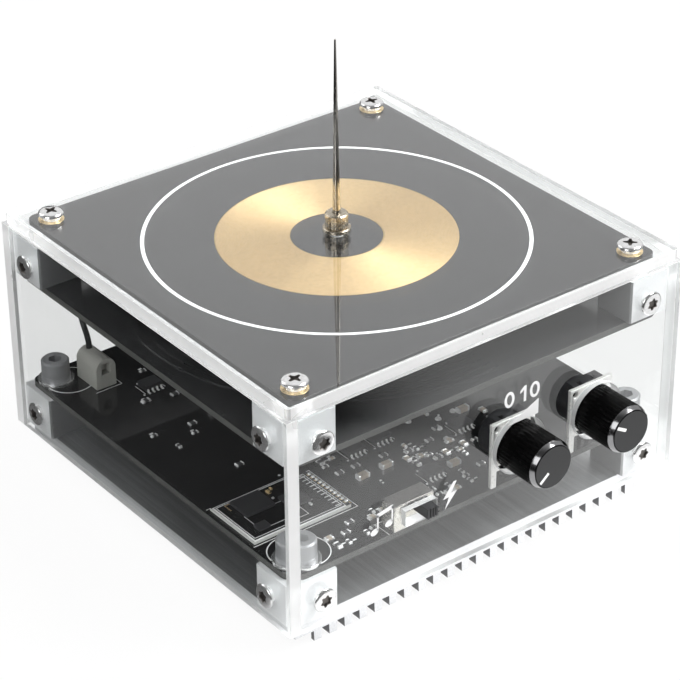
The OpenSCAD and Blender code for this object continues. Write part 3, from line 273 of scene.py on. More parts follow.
def spun_gold():
    """Fine concentric tracks: the sheen turns with the radius, as on a record."""
    t = Tree("gold_tracks")
    p = t.add("ShaderNodeBsdfPrincipled")
    t.link(p.outputs["BSDF"], t.out.inputs["Surface"])
    p.inputs["Metallic"].default_value = 1.0
    p.inputs["Anisotropic"].default_value = 0.42
    p.inputs["Anisotropic Rotation"].default_value = 0.25
    tangent = t.add("ShaderNodeTangent")
    tangent.direction_type = "RADIAL"
    tangent.axis = "Z"
    t.link(tangent.outputs["Tangent"], p.inputs["Tangent"])
    fine = t.noise(0.9, detail=4)
    t.link(t.ramp(fine, [(0.3, (0.71, 0.53, 0.28)), (0.7, (0.81, 0.62, 0.36))]), p.inputs["Base Color"])
    t.link(t.spread(fine, 0.48, 0.56), p.inputs["Roughness"])
    return t.m


GOLD = spun_gold()

# Mesh tools


CREASE = 30  # degrees, from which an edge of a CAD solid is sharp
WELD = 1e-7  # metres, within which points of a CAD mesh are one
INK = 0.02   # millimetres, thickness of a print


class Shape:
    """Collects points and faces in millimetres, so that many bits become one piece."""

    def __init__(self):
        self.v, self.f, self.k = [], [], []

    def put(self, points, faces, k=0, matrix=None):
        """Adds points and faces; k is the number of their finish."""
        n = len(self.v)
        self.v += [matrix @ Vector(p) if matrix is not None else Vector(p) for p in points]
        self.f += [tuple(i + n for i in f) for f in faces]
        self.k += [k] * len(faces)

    def stack(self, lo, hi, levels, k, matrix):
        """Rectangles joined one over another; a level is an inset and a height."""
        pts = []
        for t, z in levels:
            pts += [(x, y, z) for x, y in corners_of(lo[0] + t, lo[1] + t, hi[0] - t, hi[1] - t)]
        top = len(pts) - 4
        faces = [(3, 2, 1, 0), tuple(range(top, top + 4))]
        for r in range(0, top, 4):
            faces += [(r + i, r + (i + 1) % 4, r + 4 + (i + 1) % 4, r + 4 + i) for i in range(4)]
        self.put(pts, faces, k, matrix)

    def box(self, lo, hi, matrix=None, taper=0.0):
        self.stack(lo, hi, ((0, lo[2]), (taper, hi[2])), 0, matrix)

    def chamfered_box(self, lo, hi, c, k=0, matrix=None):
        """A box with its top edges chamfered."""
        self.stack(lo, hi, ((0, lo[2]), (0, hi[2] - c), (c, hi[2])), k, matrix)

    def lathe(self, profile, seg, k=0, matrix=None, wave=None):
        """A revolve of (r, z) points about Z; wave gives what is added to a radius at a step and a height."""
        rings, pts, faces = [], [], []
        for r, z in profile:
            if r < 1e-6:
                rings.append([len(pts)])
                pts.append((0, 0, z))
            else:
                ring = []
                for i in range(seg):
                    rr = r + (wave(i, z) if wave else 0)
                    a = 2 * math.pi * i / seg
                    ring.append(len(pts))
                    pts.append((rr * math.cos(a), rr * math.sin(a), z))
                rings.append(ring)
        for a, b in zip(rings, rings[1:]):
            for i in range(seg):
                j = (i + 1) % seg
                if len(a) == 1:
                    faces.append((a[0], b[j], b[i]))
                elif len(b) == 1:
                    faces.append((a[i], a[j], b[0]))
                else:
                    faces.append((a[i], a[j], b[j], b[i]))
        self.put(pts, faces, k, matrix)

    def prism(self, outline, z0, z1, matrix=None):
        """An outline raised from one height to another."""
        n = len(outline)
        pts = [(x, y, z0) for x, y in outline] + [(x, y, z1) for x, y in outline]
        faces = [tuple(reversed(range(n))), tuple(range(n, 2 * n))]
        faces += [(i, (i + 1) % n, n + (i + 1) % n, n + i) for i in range(n)]
        self.put(pts, faces, 0, matrix)

    def ring(self, r0, r1, z0, z1, seg, matrix=None):
        """A flat round ring."""
        pts, faces = [], []
        for i in range(seg):
            a = 2 * math.pi * i / seg
            c, s = math.cos(a), math.sin(a)
            pts += [(r0 * c, r0 * s, z0), (r1 * c, r1 * s, z0), (r1 * c, r1 * s, z1), (r0 * c, r0 * s, z1)]
            p, q = 4 * i, 4 * ((i + 1) % seg)
            faces += [(p + j, p + (j + 1) % 4, q + (j + 1) % 4, q + j) for j in range(4)]
        self.put(pts, faces, 0, matrix)

    def band(self, outer, inner, z0, z1, matrix=None):
        """A flat closed band between two outlines of as many points."""
        n = len(outer)
        pts = [(x, y, z) for z in (z0, z1) for line in (outer, inner) for x, y in line]
        faces = []
        for i in range(n):
            j = (i + 1) % n
            faces += [(2 * n + i, 2 * n + j, 3 * n + j, 3 * n + i),
                      (i, n + i, n + j, j),
                      (i, j, 2 * n + j, 2 * n + i),
                      (n + i, 3 * n + i, 3 * n + j, n + j)]
        self.put(pts, faces, 0, matrix)

    def stroke(self, path, width, z0, z1):
        """A flat line along points, of one width."""
        for (xa, ya), (xb, yb) in zip(path, path[1:]):
            dx, dy = xb - xa, yb - ya
            n = math.hypot(dx, dy) or 1
            ux, uy = dx / n * width / 2, dy / n * width / 2
            px, py = -uy, ux
            corners = [(xa - ux + px, ya - uy + py), (xa - ux - px, ya - uy - py),
                       (xb + ux - px, yb + uy - py), (xb + ux + px, yb + uy + py)]
            self.prism(corners, z0, z1)

    def build(self, name, mats, slot, body="case", smooth=None):
        """A new piece riding on a body; smooth is the angle in degrees from which its edges stay sharp."""
        me = bpy.data.meshes.new(name)
        me.from_pydata([p * MM for p in self.v], [], self.f)
        for m in mats:
            me.materials.append(m)
        for poly, k in zip(me.polygons, self.k):
            poly.material_index = k
        me.validate()
        if smooth is not None:
            for poly in me.polygons:
                poly.use_smooth = True
            me.set_sharp_from_angle(angle=math.radians(smooth))
        me.update()
        o = bpy.data.objects.new(name, me)
        bpy.context.scene.collection.objects.link(o)
        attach(o, body)
        return o


def at(x, y, z, rot=None):
    m = Matrix.Translation((x, y, z))
    return m @ rot if rot is not None else m


def turn(deg, axis):
    return Matrix.Rotation(math.radians(deg), 4, axis)


def fit_copy(node, name, mats, choose=None, *, bevel, slot, segments=2, bevel_mat=-1, body="case",
             shrink=0.0, round_only=None, merge=False):
    """A welded copy of a CAD node with finishes by face, fine edge rounding and a hair of play.

    round_only names the one finish that is shaded smooth, and merge joins flat triangles first.
    """
    me = NODES[node].data.copy()
    me.name = name
    bm = bmesh.new()
    bm.from_mesh(me)
    bmesh.ops.remove_doubles(bm, verts=bm.verts, dist=WELD)
    bmesh.ops.recalc_face_normals(bm, faces=bm.faces)
    if merge:
        bmesh.ops.dissolve_limit(bm, angle_limit=math.radians(0.5), verts=bm.verts, edges=bm.edges)
    if shrink:
        bm.normal_update()
        moves = []
        for v in bm.verts:
            kinds = []
            for f in v.link_faces:
                if all(f.normal.dot(n) < 0.999 for n in kinds):
                    kinds.append(f.normal.copy())
            moves.append((v, sum(kinds, Vector()) * -shrink * MM))
        for v, d in moves:
            v.co += d
        bm.normal_update()
    me.materials.clear()
    for m in mats:
        me.materials.append(m)
    for f in bm.faces:
        f.material_index = choose(f.normal, f.calc_center_median() / MM) if choose else 0
        f.smooth = round_only is None or f.material_index == round_only
    bm.to_mesh(me)
    bm.free()
    if "custom_normal" in me.attributes:
        me.attributes.remove(me.attributes["custom_normal"])
    me.set_sharp_from_angle(angle=math.radians(CREASE))
    o = bpy.data.objects.new(name, me)
    bpy.context.scene.collection.objects.link(o)
    b = o.modifiers.new("edges", "BEVEL")
    b.width = bevel * MM
    b.segments = segments
    b.limit_method = "ANGLE"
    b.angle_limit = math.radians(CREASE)
    b.use_clamp_overlap = True
    b.material = bevel_mat
    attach(o, body)
    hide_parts(node)


def paint(node, mat):
    """A better finish for a CAD node that stays."""
    o = NODES[node]
    if o.material_slots:
        for s in o.material_slots:
            s.material = mat
    else:
        o.data.materials.append(mat)


def mm_box(node):
    """A CAD node's two corners in millimetres."""
    lo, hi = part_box(node)
    return Vector(lo) / MM, Vector(hi) / MM


def dashed(node):
    return node.replace("_", "-")


def circle(r, seg):
    """Points round the axis."""
    return [(r * math.cos(2 * math.pi * i / seg), r * math.sin(2 * math.pi * i / seg)) for i in range(seg)]


def corners_of(x0, y0, x1, y1):
    return [(x0, y0), (x1, y0), (x1, y1), (x0, y1)]


def path_round(*sides):
    """The closed path round a rectangle."""
    return corners_of(*sides) + [tuple(sides[:2])]


# Clear case


def panel_faces(axis, lo, hi):
    """0 polished faces, 1 frosted edges, 2 the walls of holes, 3 upper edges."""

    def choose(n, c):
        if abs(n[axis]) > 0.9:
            return 0
        other = [k for k in range(3) if k != axis]
        flat = max(abs(n[k]) for k in other) > 0.9999
        edge = any(min(abs(c[k] - lo[k]), abs(c[k] - hi[k])) < 0.2 for k in other)
        if flat and edge:
            return 3 if n.z > 0.9 else 1
        return 2

    return choose


PANELS = {"front_panel": 1, "rear_panel": 1, "left_panel": 0, "right_panel": 0, "top_plate": 2}
for node, axis in PANELS.items():
    fit_copy(node, dashed(node) + "-acrylic", [CLEAR, EDGE, BORE, EDGE_TOP], panel_faces(axis, *mm_box(node)),
             shrink=0.02, bevel=0.12, segments=1, bevel_mat=1, slot="clear_acrylic", round_only=2, merge=True)

# Heatsink and blocks


FIN_TOP = 2.8


def sink_faces(n, c):
    """0 the upper side, 1 the outer sides and fin ends, 2 the flanks between the fins, which are coloured
    dark as painted shade.
    """
    if n.z > 0.9:
        return 0
    return 2 if c.z < FIN_TOP and abs(n.y) < 0.5 else 1


fit_copy("heatsink", "heatsink-brushed", [ALU, ALU_FIN, ALU_PAINTED_SHADE], sink_faces, bevel=0.12, segments=1,
         slot="bare_aluminium")


def block_faces(n, c):
    """0 faces out to the panels, or up and down; 1 faces in to the middle, which take a darker copy of the
    block finish as painted shade.
    """
    return 1 if n.x * c.x < -1 and abs(n.x) > 0.7 or n.y * c.y < -1 and abs(n.y) > 0.7 else 0


for node in ("lower_corner_blocks", "upper_corner_blocks"):
    fit_copy(node, dashed(node) + "-satin", [BLOCK, BLOCK_PAINTED_SHADE], block_faces, bevel=0.18, slot="cast_block")

# Boards


def board_faces(n, c):
    """0 the two sides, 1 the edges."""
    return 0 if abs(n.z) > 0.9 else 1


for node, mask, rim in (("coil_board", MASK_TOP, EDGE_BLACK), ("primary_board", MASK_PRIMARY, FR4),
                        ("main_board", MASK, FR4)):
    fit_copy(node, dashed(node) + "-lacquered", [mask, rim], board_faces, bevel=0.06, segments=1,
             slot="black_board")
paint("primary_coil", MASK_PRIMARY)

coil_top = mm_box("coil_board")[1].z
top_z = mm_box("top_plate")[1].z

# White printed ring on the coil board
RING_IN, RING_OUT = 45.48, 46.42
s = Shape()
s.ring(RING_IN, RING_OUT, coil_top, coil_top + INK, 256)
s.build("ring-print", [WHITE_INK], "mark_white")


def spiral_strip(s, r_in, r_out, turns, steps, width, z0, z1):
    """One strip wound from r_in to r_out, a little narrower on top."""
    pitch = (r_out - r_in - width) / turns
    n = turns * steps
    pts = []
    for i in range(n + 1):
        a = 2 * math.pi * i / steps
        r = r_in + width / 2 + pitch * i / steps
        for dr, z in ((-width / 2, z0), (width / 2, z0), (width / 2 * 0.8, z1), (-width / 2 * 0.8, z1)):
            pts.append(((r + dr) * math.cos(a), (r + dr) * math.sin(a), z))
    faces = []
    for i in range(n):
        p, q = 4 * i, 4 * (i + 1)
        for j in (1, 2, 3):
            faces.append((p + j, p + (j + 1) % 4, q + (j + 1) % 4, q + j))
    faces += [(3, 2, 1, 0), tuple(4 * n + j for j in range(4))]
    s.put(pts, faces)


GOLD_IN, GOLD_OUT, GOLD_TURNS, TRACK_W = 11.0, 29.0, 52, 0.285
s = Shape()
spiral_strip(s, GOLD_IN + 0.05, GOLD_OUT - 0.05, GOLD_TURNS, 96, TRACK_W, coil_top + 0.01, coil_top + 0.06)
winding = s.build("gold-winding", [GOLD], "gold_track")
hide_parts("secondary_coil")
s = Shape()
s.ring(GOLD_IN, GOLD_OUT, coil_top, coil_top + 0.012, 192)
s.build("winding-ground", [GOLD_GROUND], "gold_track")

# Needle and holder

NEEDLE_R, TIP_R, CONE_STEPS = 0.95, 0.22, 24
foot, point = (corner.z for corner in mm_box("needle"))
cone_foot, cone_head = foot + 4.1, point - 0.3
profile = [(0, foot), (NEEDLE_R, foot), (NEEDLE_R, cone_foot)]
for i in range(1, CONE_STEPS + 1):
    f = i / CONE_STEPS
    profile.append((NEEDLE_R + (TIP_R - NEEDLE_R) * f, cone_foot + (cone_head - cone_foot) * f))
profile += [(0.16, point - 0.12), (0.07, point - 0.02), (0, point)]
s = Shape()
s.lathe(profile, 40)
needle = s.build("needle-ground", [NEEDLE], "needle_steel", smooth=40)
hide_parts("needle")


FLANGE_R, FLANGE_H, GRIP_R, GRIP_TOP, STUD_R, STUD_L = 3.4, 1.0, 2.78, 4.7, 1.5, 8.4
KNURL = 0.05


def knurl(i, z):
    """Two of each four points round the grip lie a little deeper."""
    return -KNURL if i % 4 in (2, 3) else 0.0


on_top = at(0, 0, top_z)
s = Shape()
s.lathe([(0, -0.01), (FLANGE_R - 0.15, 0), (FLANGE_R, 0.15), (FLANGE_R, FLANGE_H - 0.15),
         (FLANGE_R - 0.15, FLANGE_H), (2.35, FLANGE_H + 0.02)], 72, 0, on_top)
s.lathe([(2.3, FLANGE_H), (2.6, FLANGE_H + 0.02), (GRIP_R, FLANGE_H + 0.2), (GRIP_R, GRIP_TOP - 0.35),
         (2.5, GRIP_TOP - 0.08)], 120, 0, on_top, wave=knurl)
s.lathe([(2.5, GRIP_TOP - 0.08), (2.3, GRIP_TOP), (1.1, GRIP_TOP), (0.98, GRIP_TOP - 0.1),
         (0.98, GRIP_TOP - 2.1)], 72, 0, on_top)
s.lathe([(STUD_R, 0), (STUD_R, 0.4 - STUD_L), (STUD_R - 0.3, -STUD_L), (0, -STUD_L)], 48, 0, on_top)
holder = s.build("needle-holder-turned", [HOLDER], "nickel", smooth=25)
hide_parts("needle_holder")
paint("needle_stud_nut", BRASS)

# Screws


def star(r_out, r_in):
    """A six-lobed recess outline."""
    pts = []
    for x, y in circle(1, 30):
        r = r_in + (r_out - r_in) * (0.5 + 0.5 * math.cos(6 * math.atan2(y, x)))
        pts.append((r * x, r * y))
    return pts


def head_with_recess(s, r, h, depth, outline, matrix):
    """A pan head on z = 0: its crown is a fan of rings down to the recess's own outline."""
    n = len(outline)
    crown = [(r, 0.0), (r, h * 0.34), (r * 0.975, h * 0.52), (r * 0.9, h * 0.74), (r * 0.78, h * 0.91)]
    recess = [(1.25, h), (1.0, h), (0.92, h - 0.12), (0.86, h - depth)]
    pts, faces = [], []
    for rr, z in crown:
        for x, y in outline:
            a = math.atan2(y, x)
            pts.append((rr * math.cos(a), rr * math.sin(a), z))
    for f, z in recess:
        pts += [(x * f, y * f, z) for x, y in outline]
    last = len(crown) + len(recess) - 1
    for low in range(0, last * n, n):
        high = low + n
        faces += [(low + i, low + (i + 1) % n, high + (i + 1) % n, high + i) for i in range(n)]
    faces.append(tuple(range(last * n, last * n + n)))
    faces.append(tuple(reversed(range(n))))
    bright = n * (len(crown) + 1)
    s.put(pts, faces, 0, matrix)
    # Finish 1, the dark steel, goes on the recess's walls and floor as painted shade.
    s.k[-len(faces):] = [0] * bright + [1] * (len(faces) - bright - 1) + [0]


THREAD_STEPS = 28


def thread(s, r, z_top, z_end, pitch, matrix):
    """A threaded shank going down from z_top to z_end: one true helix with a tapered point."""
    seg = THREAD_STEPS
    turns = (z_top - z_end) / pitch
    n = int(turns * seg)
    pts, faces = [], []
    for i in range(n + 1):
        a = 2 * math.pi * i / seg
        z = z_top - pitch * i / seg
        for rr, drop in ((r - 0.02, 0.0), (r - 0.02, 0.12), (r * 0.8, 0.45), (r * 0.8, 0.6)):
            pts.append((rr * math.cos(a), rr * math.sin(a), z - drop * pitch))
    for i in range(n):
        p, q = 4 * i, 4 * (i + 1)
        for j in range(3):
            faces.append((p + j, p + j + 1, q + j + 1, q + j))
        if i + seg + 1 <= n:
            t = 4 * (i + seg)
            faces.append((p + 3, t, t + 4, q + 3))
    s.put(pts, faces, 0, matrix)
    s.lathe([(0, z_end - 0.1), (r * 0.8, z_end), (r * 0.8, z_top + 0.1), (0, z_top + 0.12)], 24, 0, matrix)


# Distances of the side screws, and of the corner blocks, from the middle, and the front panel's outer face
SIDE, CORNER, FACE = 48.0, 48.75, -57.5
# Heads by radius, height and depth of the recess; shanks by radius, top, end and pitch
SIDE_HEAD, TOP_HEAD = (3.0, 0.68, 0.5), (3.1, 0.98, 0.7)
SIDE_SHANK, TOP_SHANK = (1.45, -0.05, -6.9, 0.6), (1.45, -0.05, -7.7, 0.5)
low_z = mm_box("lower_corner_blocks")[0].z + 5.5
high_z = mm_box("upper_corner_blocks")[0].z + 4.5
lobes = star(1.62, 1.12)
for name, deg in (("front", 0), ("right", 90), ("rear", 180), ("left", 270)):
    s = Shape()
    for i, (sx, z) in enumerate(((-1, low_z), (1, low_z), (-1, high_z), (1, high_z))):
        m = turn(deg, "Z") @ at(sx * SIDE, FACE, z, turn(90, "X")) @ turn(17 + 41 * i + deg, "Z")
        head_with_recess(s, *SIDE_HEAD, lobes, m)
        thread(s, *SIDE_SHANK, m)
    o = s.build(name + "-screws-star", [STEEL, STEEL_DARK_AND_RECESS_SHADE], "screw_steel", smooth=35)
    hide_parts(name + "_screws")

ARM = ((0.56, -0.56), (1.7, -0.27), (1.7, 0.27), (0.56, 0.56))
cross = []
for k in range(4):
    arm = [turn(90 * k, "Z") @ Vector((x, y, 0)) for x, y in ARM]
    for a, b in zip(arm, arm[1:]):
        cross += [((a.x * (6 - i) + b.x * i) / 6, (a.y * (6 - i) + b.y * i) / 6) for i in range(6)]
s = Shape()
for i, (sx, sy) in enumerate(((-1, -1), (1, -1), (1, 1), (-1, 1))):
    m = at(sx * CORNER, sy * CORNER, top_z, turn(12 + 34 * i, "Z"))
    head_with_recess(s, *TOP_HEAD, cross, m)
    thread(s, *TOP_SHANK, m)
o = s.build("top-screws-cross", [STEEL, STEEL_DARK_AND_RECESS_SHADE], "screw_steel", smooth=35)
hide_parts("top_screws")


# CAD nodes that keep their form: node, name, finish, rounding of the edges, its steps, slot
SOFTENED = (("coil_board_pads", "coil-board-gold-pads", GOLD_PAD, 0.03, 1, "gold_track"),
            ("primary_board_screws", "primary-board-screws-pan", STEEL, 0.08, 2, "screw_steel"),
            ("base_screws", "base-screws-flat", STEEL_DARK_AND_RECESS_SHADE, 0.05, 2, "dark_steel"),
            ("board_bolts", "board-bolts-socket", BOLT, 0.14, 2, "screw_steel"),
            ("board_washers", "board-washers-flat", STEEL, 0.1, 2, "screw_steel"),
            ("board_spring_washers", "board-spring-washers-split", BOLT, 0.08, 2, "screw_steel"),
            ("power_transistors", "power-transistors-moulded", CHIP, 0.25, 2, "black_moulding"),
            ("transistor_legs", "transistor-legs-tinned", TIN, 0.05, 1, "tin"),
            ("transistor_screws", "transistor-screws-pan", STEEL, 0.08, 2, "screw_steel"))
for node, name, mat, rounding, steps, slot in SOFTENED:
    fit_copy(node, name, [mat], bevel=rounding, segments=steps, slot=slot)
paint("transistor_pads", PAD_RUBBER)

# Electronics on the main board

fit_copy("small_chips", "small-chips-resin", [CHIP], bevel=0.12, segments=1, slot="black_moulding")
paint("chip_leads", TIN)
lo, hi = mm_box("radio_module")
fit_copy("radio_module", "radio-module-board", [MASK, MODULE_EDGE], board_faces, bevel=0.04, segments=1,
         slot="black_board")
fit_copy("module_parts", "module-cans", [CHIP], bevel=0.15, slot="black_moulding")


def ended_blocks(node, name, body_mat, slot, end):
    """Chip parts as their bodies between bright soldered ends."""
    me = NODES[node].data
    bm = bmesh.new()
    bm.from_mesh(me)
    bmesh.ops.remove_doubles(bm, verts=bm.verts, dist=WELD)
    seen, blocks = set(), []
    for v in bm.verts:
        if v in seen:
            continue
        stack, group = [v], []
        while stack:
            w = stack.pop()
            if w in seen:
                continue
            seen.add(w)
            group.append(w.co / MM)
            stack += [e.other_vert(w) for e in w.link_edges]
        blocks.append([Vector([side(p[k] for p in group) for k in range(3)]) for side in (min, max)])
    bm.free()
    s = Shape()
    for a, b in blocks:
        s.chamfered_box((a.x + end, a.y + 0.04, a.z + 0.03), (b.x - end, b.y - 0.04, b.z - 0.03), 0.08, 0)
        s.chamfered_box((a.x, a.y, a.z), (a.x + end, b.y, b.z), 0.1, 1)
        s.chamfered_box((b.x - end, a.y, a.z), (b.x, b.y, b.z), 0.1, 1)
    o = s.build(name, [body_mat, SOLDER], slot)
    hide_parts(node)


ended_blocks("ceramic_capacitors", "ceramic-capacitors-ended", TAN, "tan_ceramic", 0.5)
ended_blocks("resistors", "resistors-ended", RESISTOR, "dark_ceramic", 0.35)

silk, pads, dots, bits = Shape(), Shape(), Shape(), Shape()
# Upper face of the main board, half its printed field, and the place of its bolts
zs = mm_box("main_board")[1].z
FIELD, BOLT_C = 51, CORNER - 2.4
for x in (-BOLT_C, BOLT_C):
    for y in (-BOLT_C, BOLT_C):
        silk.ring(5.9, 6.15, zs, zs + INK, 64, matrix=at(x, y, 0))
# Radio module: pads and solder along one side, prints, small parts, its meander aerial
PAD_N, PAD_PITCH, PAD_W, PAD_T = 11, 1.4, 0.42, 0.03
mx0, my0, mx1, my1 = lo.x, lo.y, hi.x, hi.y
mz = hi.z
MEANDERS = 7
for i in range(PAD_N):
    y = my0 + 1.7 + i * PAD_PITCH
    pads.box((mx1 - 0.9, y - PAD_W, mz), (mx1 + 0.02, y + PAD_W, mz + PAD_T))
    pads.box((mx1 - 0.02, y - PAD_W, zs), (mx1 + 1.1, y + PAD_W, zs + PAD_T))
    dots.lathe([(0.5, 0), (0.45, 0.25), (0.2, 0.42), (0, 0.45)], 12, matrix=at(mx1 - 0.1, y, mz))
    silk.box((mx1 - 3.2, y - 0.18, mz), (mx1 - 1.5, y + 0.12, mz + INK))
silk.stroke([(mx1 - 1.3, my0 + 0.7), (mx1 - 1.3, my1 - 0.7), (mx0 + 0.3, my1 - 0.7)], 0.16, mz, mz + INK)
silk.box((mx0 + 0.05, my0 + 0.05, mz), (mx1 - 1.3, my0 + 0.55, mz + INK))
silk.box((mx0 + 0.05, my0 + 0.6, mz), (mx0 + 0.55, my1 - 0.7, mz + INK))
silk.stroke(path_round(mx0 + 0.9, my0 + 1.15, mx1 - 1.9, my1 - 1.15), 0.2, mz, mz + INK)
# Small parts on the module: place of a corner, width, depth
BRIGHT_BITS = ((8.2, 12.6, 1.6, 0.7), (10.4, 11.4, 0.7, 0.7), (11.8, 12.4, 0.7, 1.1), (13.2, 11.2, 0.5, 0.5),
               (16.8, 5.2, 0.6, 1.0), (17.8, 6.8, 0.6, 0.6), (17.2, 8.6, 1.0, 0.5), (6.2, 3.8, 0.5, 0.5))
GOLD_BITS = ((9.6, 14.2, 2.4, 0.9), (13.6, 13.4, 0.8, 1.3), (15.0, 14.4, 0.5, 0.8))
for x, y, w, h in BRIGHT_BITS:
    dots.chamfered_box((mx0 + x, my0 + y, mz), (mx0 + x + w, my0 + y + h, mz + 0.4), 0.1)
for x, y, w, h in GOLD_BITS:
    pads.chamfered_box((mx0 + x, my0 + y, mz), (mx0 + x + w, my0 + y + h, mz + 0.5), 0.1)
silk.stroke(path_round(mx0 + 4, my0 + 3, mx0 + 14.5, my0 + 9.5), 0.14, mz, mz + INK)
path = []
for i in range(MEANDERS):
    x = mx0 + 3 + i * PAD_PITCH
    path += [(x, my1 - 1.6), (x, my1 - 3.9)] if i % 2 else [(x, my1 - 3.9), (x, my1 - 1.6)]
pads.stroke(path, 0.3, mz, mz + PAD_T)
silk.stroke(corners_of(mx0 - 0.6, my0 - 0.6, mx1 + 1.4, my1 + 0.6), 0.18, zs, zs + INK)


def part(x, y, l, w, h, rot=0, kind=0):
    """A small soldered part: kind 0 dark, 1 tan."""
    m = at(x, y, zs, turn(rot, "Z"))
    e = l * 0.24
    bits.chamfered_box((-l / 2 + e, -w / 2, 0), (l / 2 - e, w / 2, h), 0.06, kind, m)
    for sx in (-1, 1):
        c = sx * (l / 2 - e / 2)
        bits.chamfered_box((c - e / 2, -w / 2 - 0.02, 0), (c + e / 2, w / 2 + 0.02, h * 1.02), 0.08, 2, m)
        c += sx * e * 0.3
        dots.box((c - e * 0.75, -w * 0.55, 0), (c + e * 0.75, w * 0.55, h * 0.3), m, 0.08)


# Rectangles of the main board that the CAD's own parts take
BOLT_ROOM = 6.5
blocked = [(mx0 - 1, my0 - 1, mx1 + 2, my1 + 1)]
for node in ("small_chips", "ceramic_capacitors", "resistors"):
    for poly in NODES[node].data.polygons:
        c = poly.center / MM
        blocked.append((c.x - 2.2, c.y - 1.6, c.x + 2.2, c.y + 1.6))
for node in ("lead_terminal", "power_inlet", "left_control", "right_control", "switch_shell",
             "left_control_plate", "right_control_plate"):
    a, b = mm_box(node)
    blocked.append((a.x - 0.8, a.y - 0.8, b.x + 0.8, b.y + 0.8))
for sx in (-CORNER, CORNER):
    for sy in (-CORNER, CORNER):
        blocked.append((sx - BOLT_ROOM, sy - BOLT_ROOM, sx + BOLT_ROOM, sy + BOLT_ROOM))


def free(x, y, gap):
    """Whether a place on the main board keeps a gap to all that is there."""
    return all(not (a - gap < x < c + gap and b - gap < y < d + gap) for a, b, c, d in blocked)


# Where the photograph shows small parts, denser near the front: middle, half sizes, number
CLUSTERS = [(-33, -46, 7, 3.2, 9), (-24, -43.5, 3, 2.5, 3), (-12.5, -28.5, 8, 3, 8), (-2, -30, 5, 4, 6),
            (6, -33, 5, 5, 6), (3.5, -43, 4, 4, 7), (-3, -46, 6, 2, 5), (-20, -22, 4, 4, 4),
            (18, -30, 6, 7, 7), (-32, 11, 5, 5, 2), (-31, 31, 7, 5, 1), (20, -14, 10, 6, 7),
            (0, -12, 14, 5, 6), (-8, 8, 9, 8, 4), (42, -4, 6, 8, 6), (10, 20, 14, 10, 8),
            (35, 20, 9, 14, 6), (-44, 6, 4, 14, 2), (-20, 44, 10, 5, 6)]
LARGE_BIT, SMALL_BIT = (2.0, 1.2, 0.6), (1.5, 0.8, 0.5)
TRIES, VIAS = 12, 150
for cx, cy, hx, hy, n in CLUSTERS:
    for bit in range(n):
        for attempt in range(TRIES):
            x, y = cx + rnd.uniform(-hx, hx), cy - 0.6 + rnd.uniform(-hy, hy)
            if free(x, y, 0.9) and max(abs(x), abs(y)) < FIELD:
                l, w, h = LARGE_BIT if rnd.random() < 0.4 else SMALL_BIT
                rot = rnd.choice((0, 90))
                part(x, y, l, w, h, rot, 1 if rnd.random() < 0.3 else 0)
                blocked.append((x - 1.1, y - 1.1, x + 1.1, y + 1.1))
                if rnd.random() < 0.5:
                    dx, dy = (1.6, 0) if rot == 90 else (0, 1.3)
                    silk.box((x + dx - 0.5, y + dy - 0.22, zs), (x + dx + 0.5, y + dy + 0.22, zs + INK))
                break
# Plain joints of the board, none where the photograph shows it bare or where the digits need a dark ground
for via in range(VIAS):
    x, y = rnd.uniform(1 - FIELD, FIELD - 1), rnd.uniform(1 - FIELD, FIELD - 1)
    behind_digits = 22 < x < 46 and -40 < y < -16
    plain_corner = x < -12 and y > -12
    if free(x, y, 0.3) and not behind_digits and not plain_corner:
        dots.lathe([(0.34, 0), (0.3, 0.08), (0, 0.12)], 10, matrix=at(x, y, zs))
# Large solder joints by the left knob
JOINTS = ((12, -22.5), (9.5, -26), (8, -30.5), (17, -22), (12.5, -18), (5.5, -19))
for x, y in JOINTS:
    dots.lathe([(0.85, 0), (0.75, 0.3), (0.35, 0.6), (0, 0.65)], 16, matrix=at(x, y, zs))
# Prints beside the chips, the switch and the terminal
CHIPS = ((-12.9, -20.9), (-4.7, -20.7), (-4.4, -39.9), (-32.4, 31.6), (14.2, -28.0))
for cx, cy in CHIPS:
    for x in (cx - 2.9, cx + 2.9):
        silk.stroke([(x, cy - 2.2), (x, cy + 2.2)], 0.16, zs, zs + INK)
    silk.ring(0, 0.28, zs, zs + INK, 16, matrix=at(cx - 3.4, cy - 2.6, 0))
silk.stroke([(-27.4, -53.0), (-27.4, -48.0), (-13.6, -48.0), (-13.6, -53.0)], 0.16, zs, zs + INK)
silk.stroke([(-44.5, 37), (-37.1, 37), (-37.1, 47.8), (-42.8, 47.8)], 0.18, zs, zs + INK)
silk.build("board-print", [SILK], "mark_white")
pads.build("board-gold-pads", [GOLD_PAD], "gold_track")
dots.build("board-solder", [SOLDER], "tin", smooth=50)
bits.build("board-small-parts", [RESISTOR, TAN, SOLDER], "dark_ceramic")

# Terminal and lead

fit_copy("lead_terminal", "lead-terminal-moulded", [NYLON], bevel=0.3, segments=3, slot="white_nylon")
LEAD_R, LEAD_SIDES, LEAD_STEPS = 0.74, 20, 8
lead_lo, lead_hi = mm_box("coil_lead")
lead_foot, lead_head = Vector((-40.9, 45.2, lead_lo.z)), Vector((-41.85, 48.0, lead_hi.z))
# The route in shares of the way from foot to head
ROUTE_SHARES = ((0, 0, 0), (0, 0, 0.08), (0.1, 0.14, 0.19), (0.5, 0.57, 0.375), (0.9, 0.93, 0.6),
                (1, 1, 0.81), (1, 1, 1))
ROUTE = [[lead_foot[i] + s[i] * (lead_head[i] - lead_foot[i]) for i in range(3)] for s in ROUTE_SHARES]


def smooth_path(route, steps):
    """A smooth curve through a route's points, with a number of steps for each stretch."""
    n, out = len(route) - 1, []
    for i in range(n):
        a, b = Vector(route[max(i - 1, 0)]), Vector(route[i])
        c, d = Vector(route[i + 1]), Vector(route[min(i + 2, n)])
        for k in range(steps):
            t = k / steps
            bend = (2 * a - 5 * b + 4 * c - d) * t * t + (3 * b - a - 3 * c + d) * t ** 3
            out.append(0.5 * (2 * b + (c - a) * t + bend))
    return out + [Vector(route[-1])]


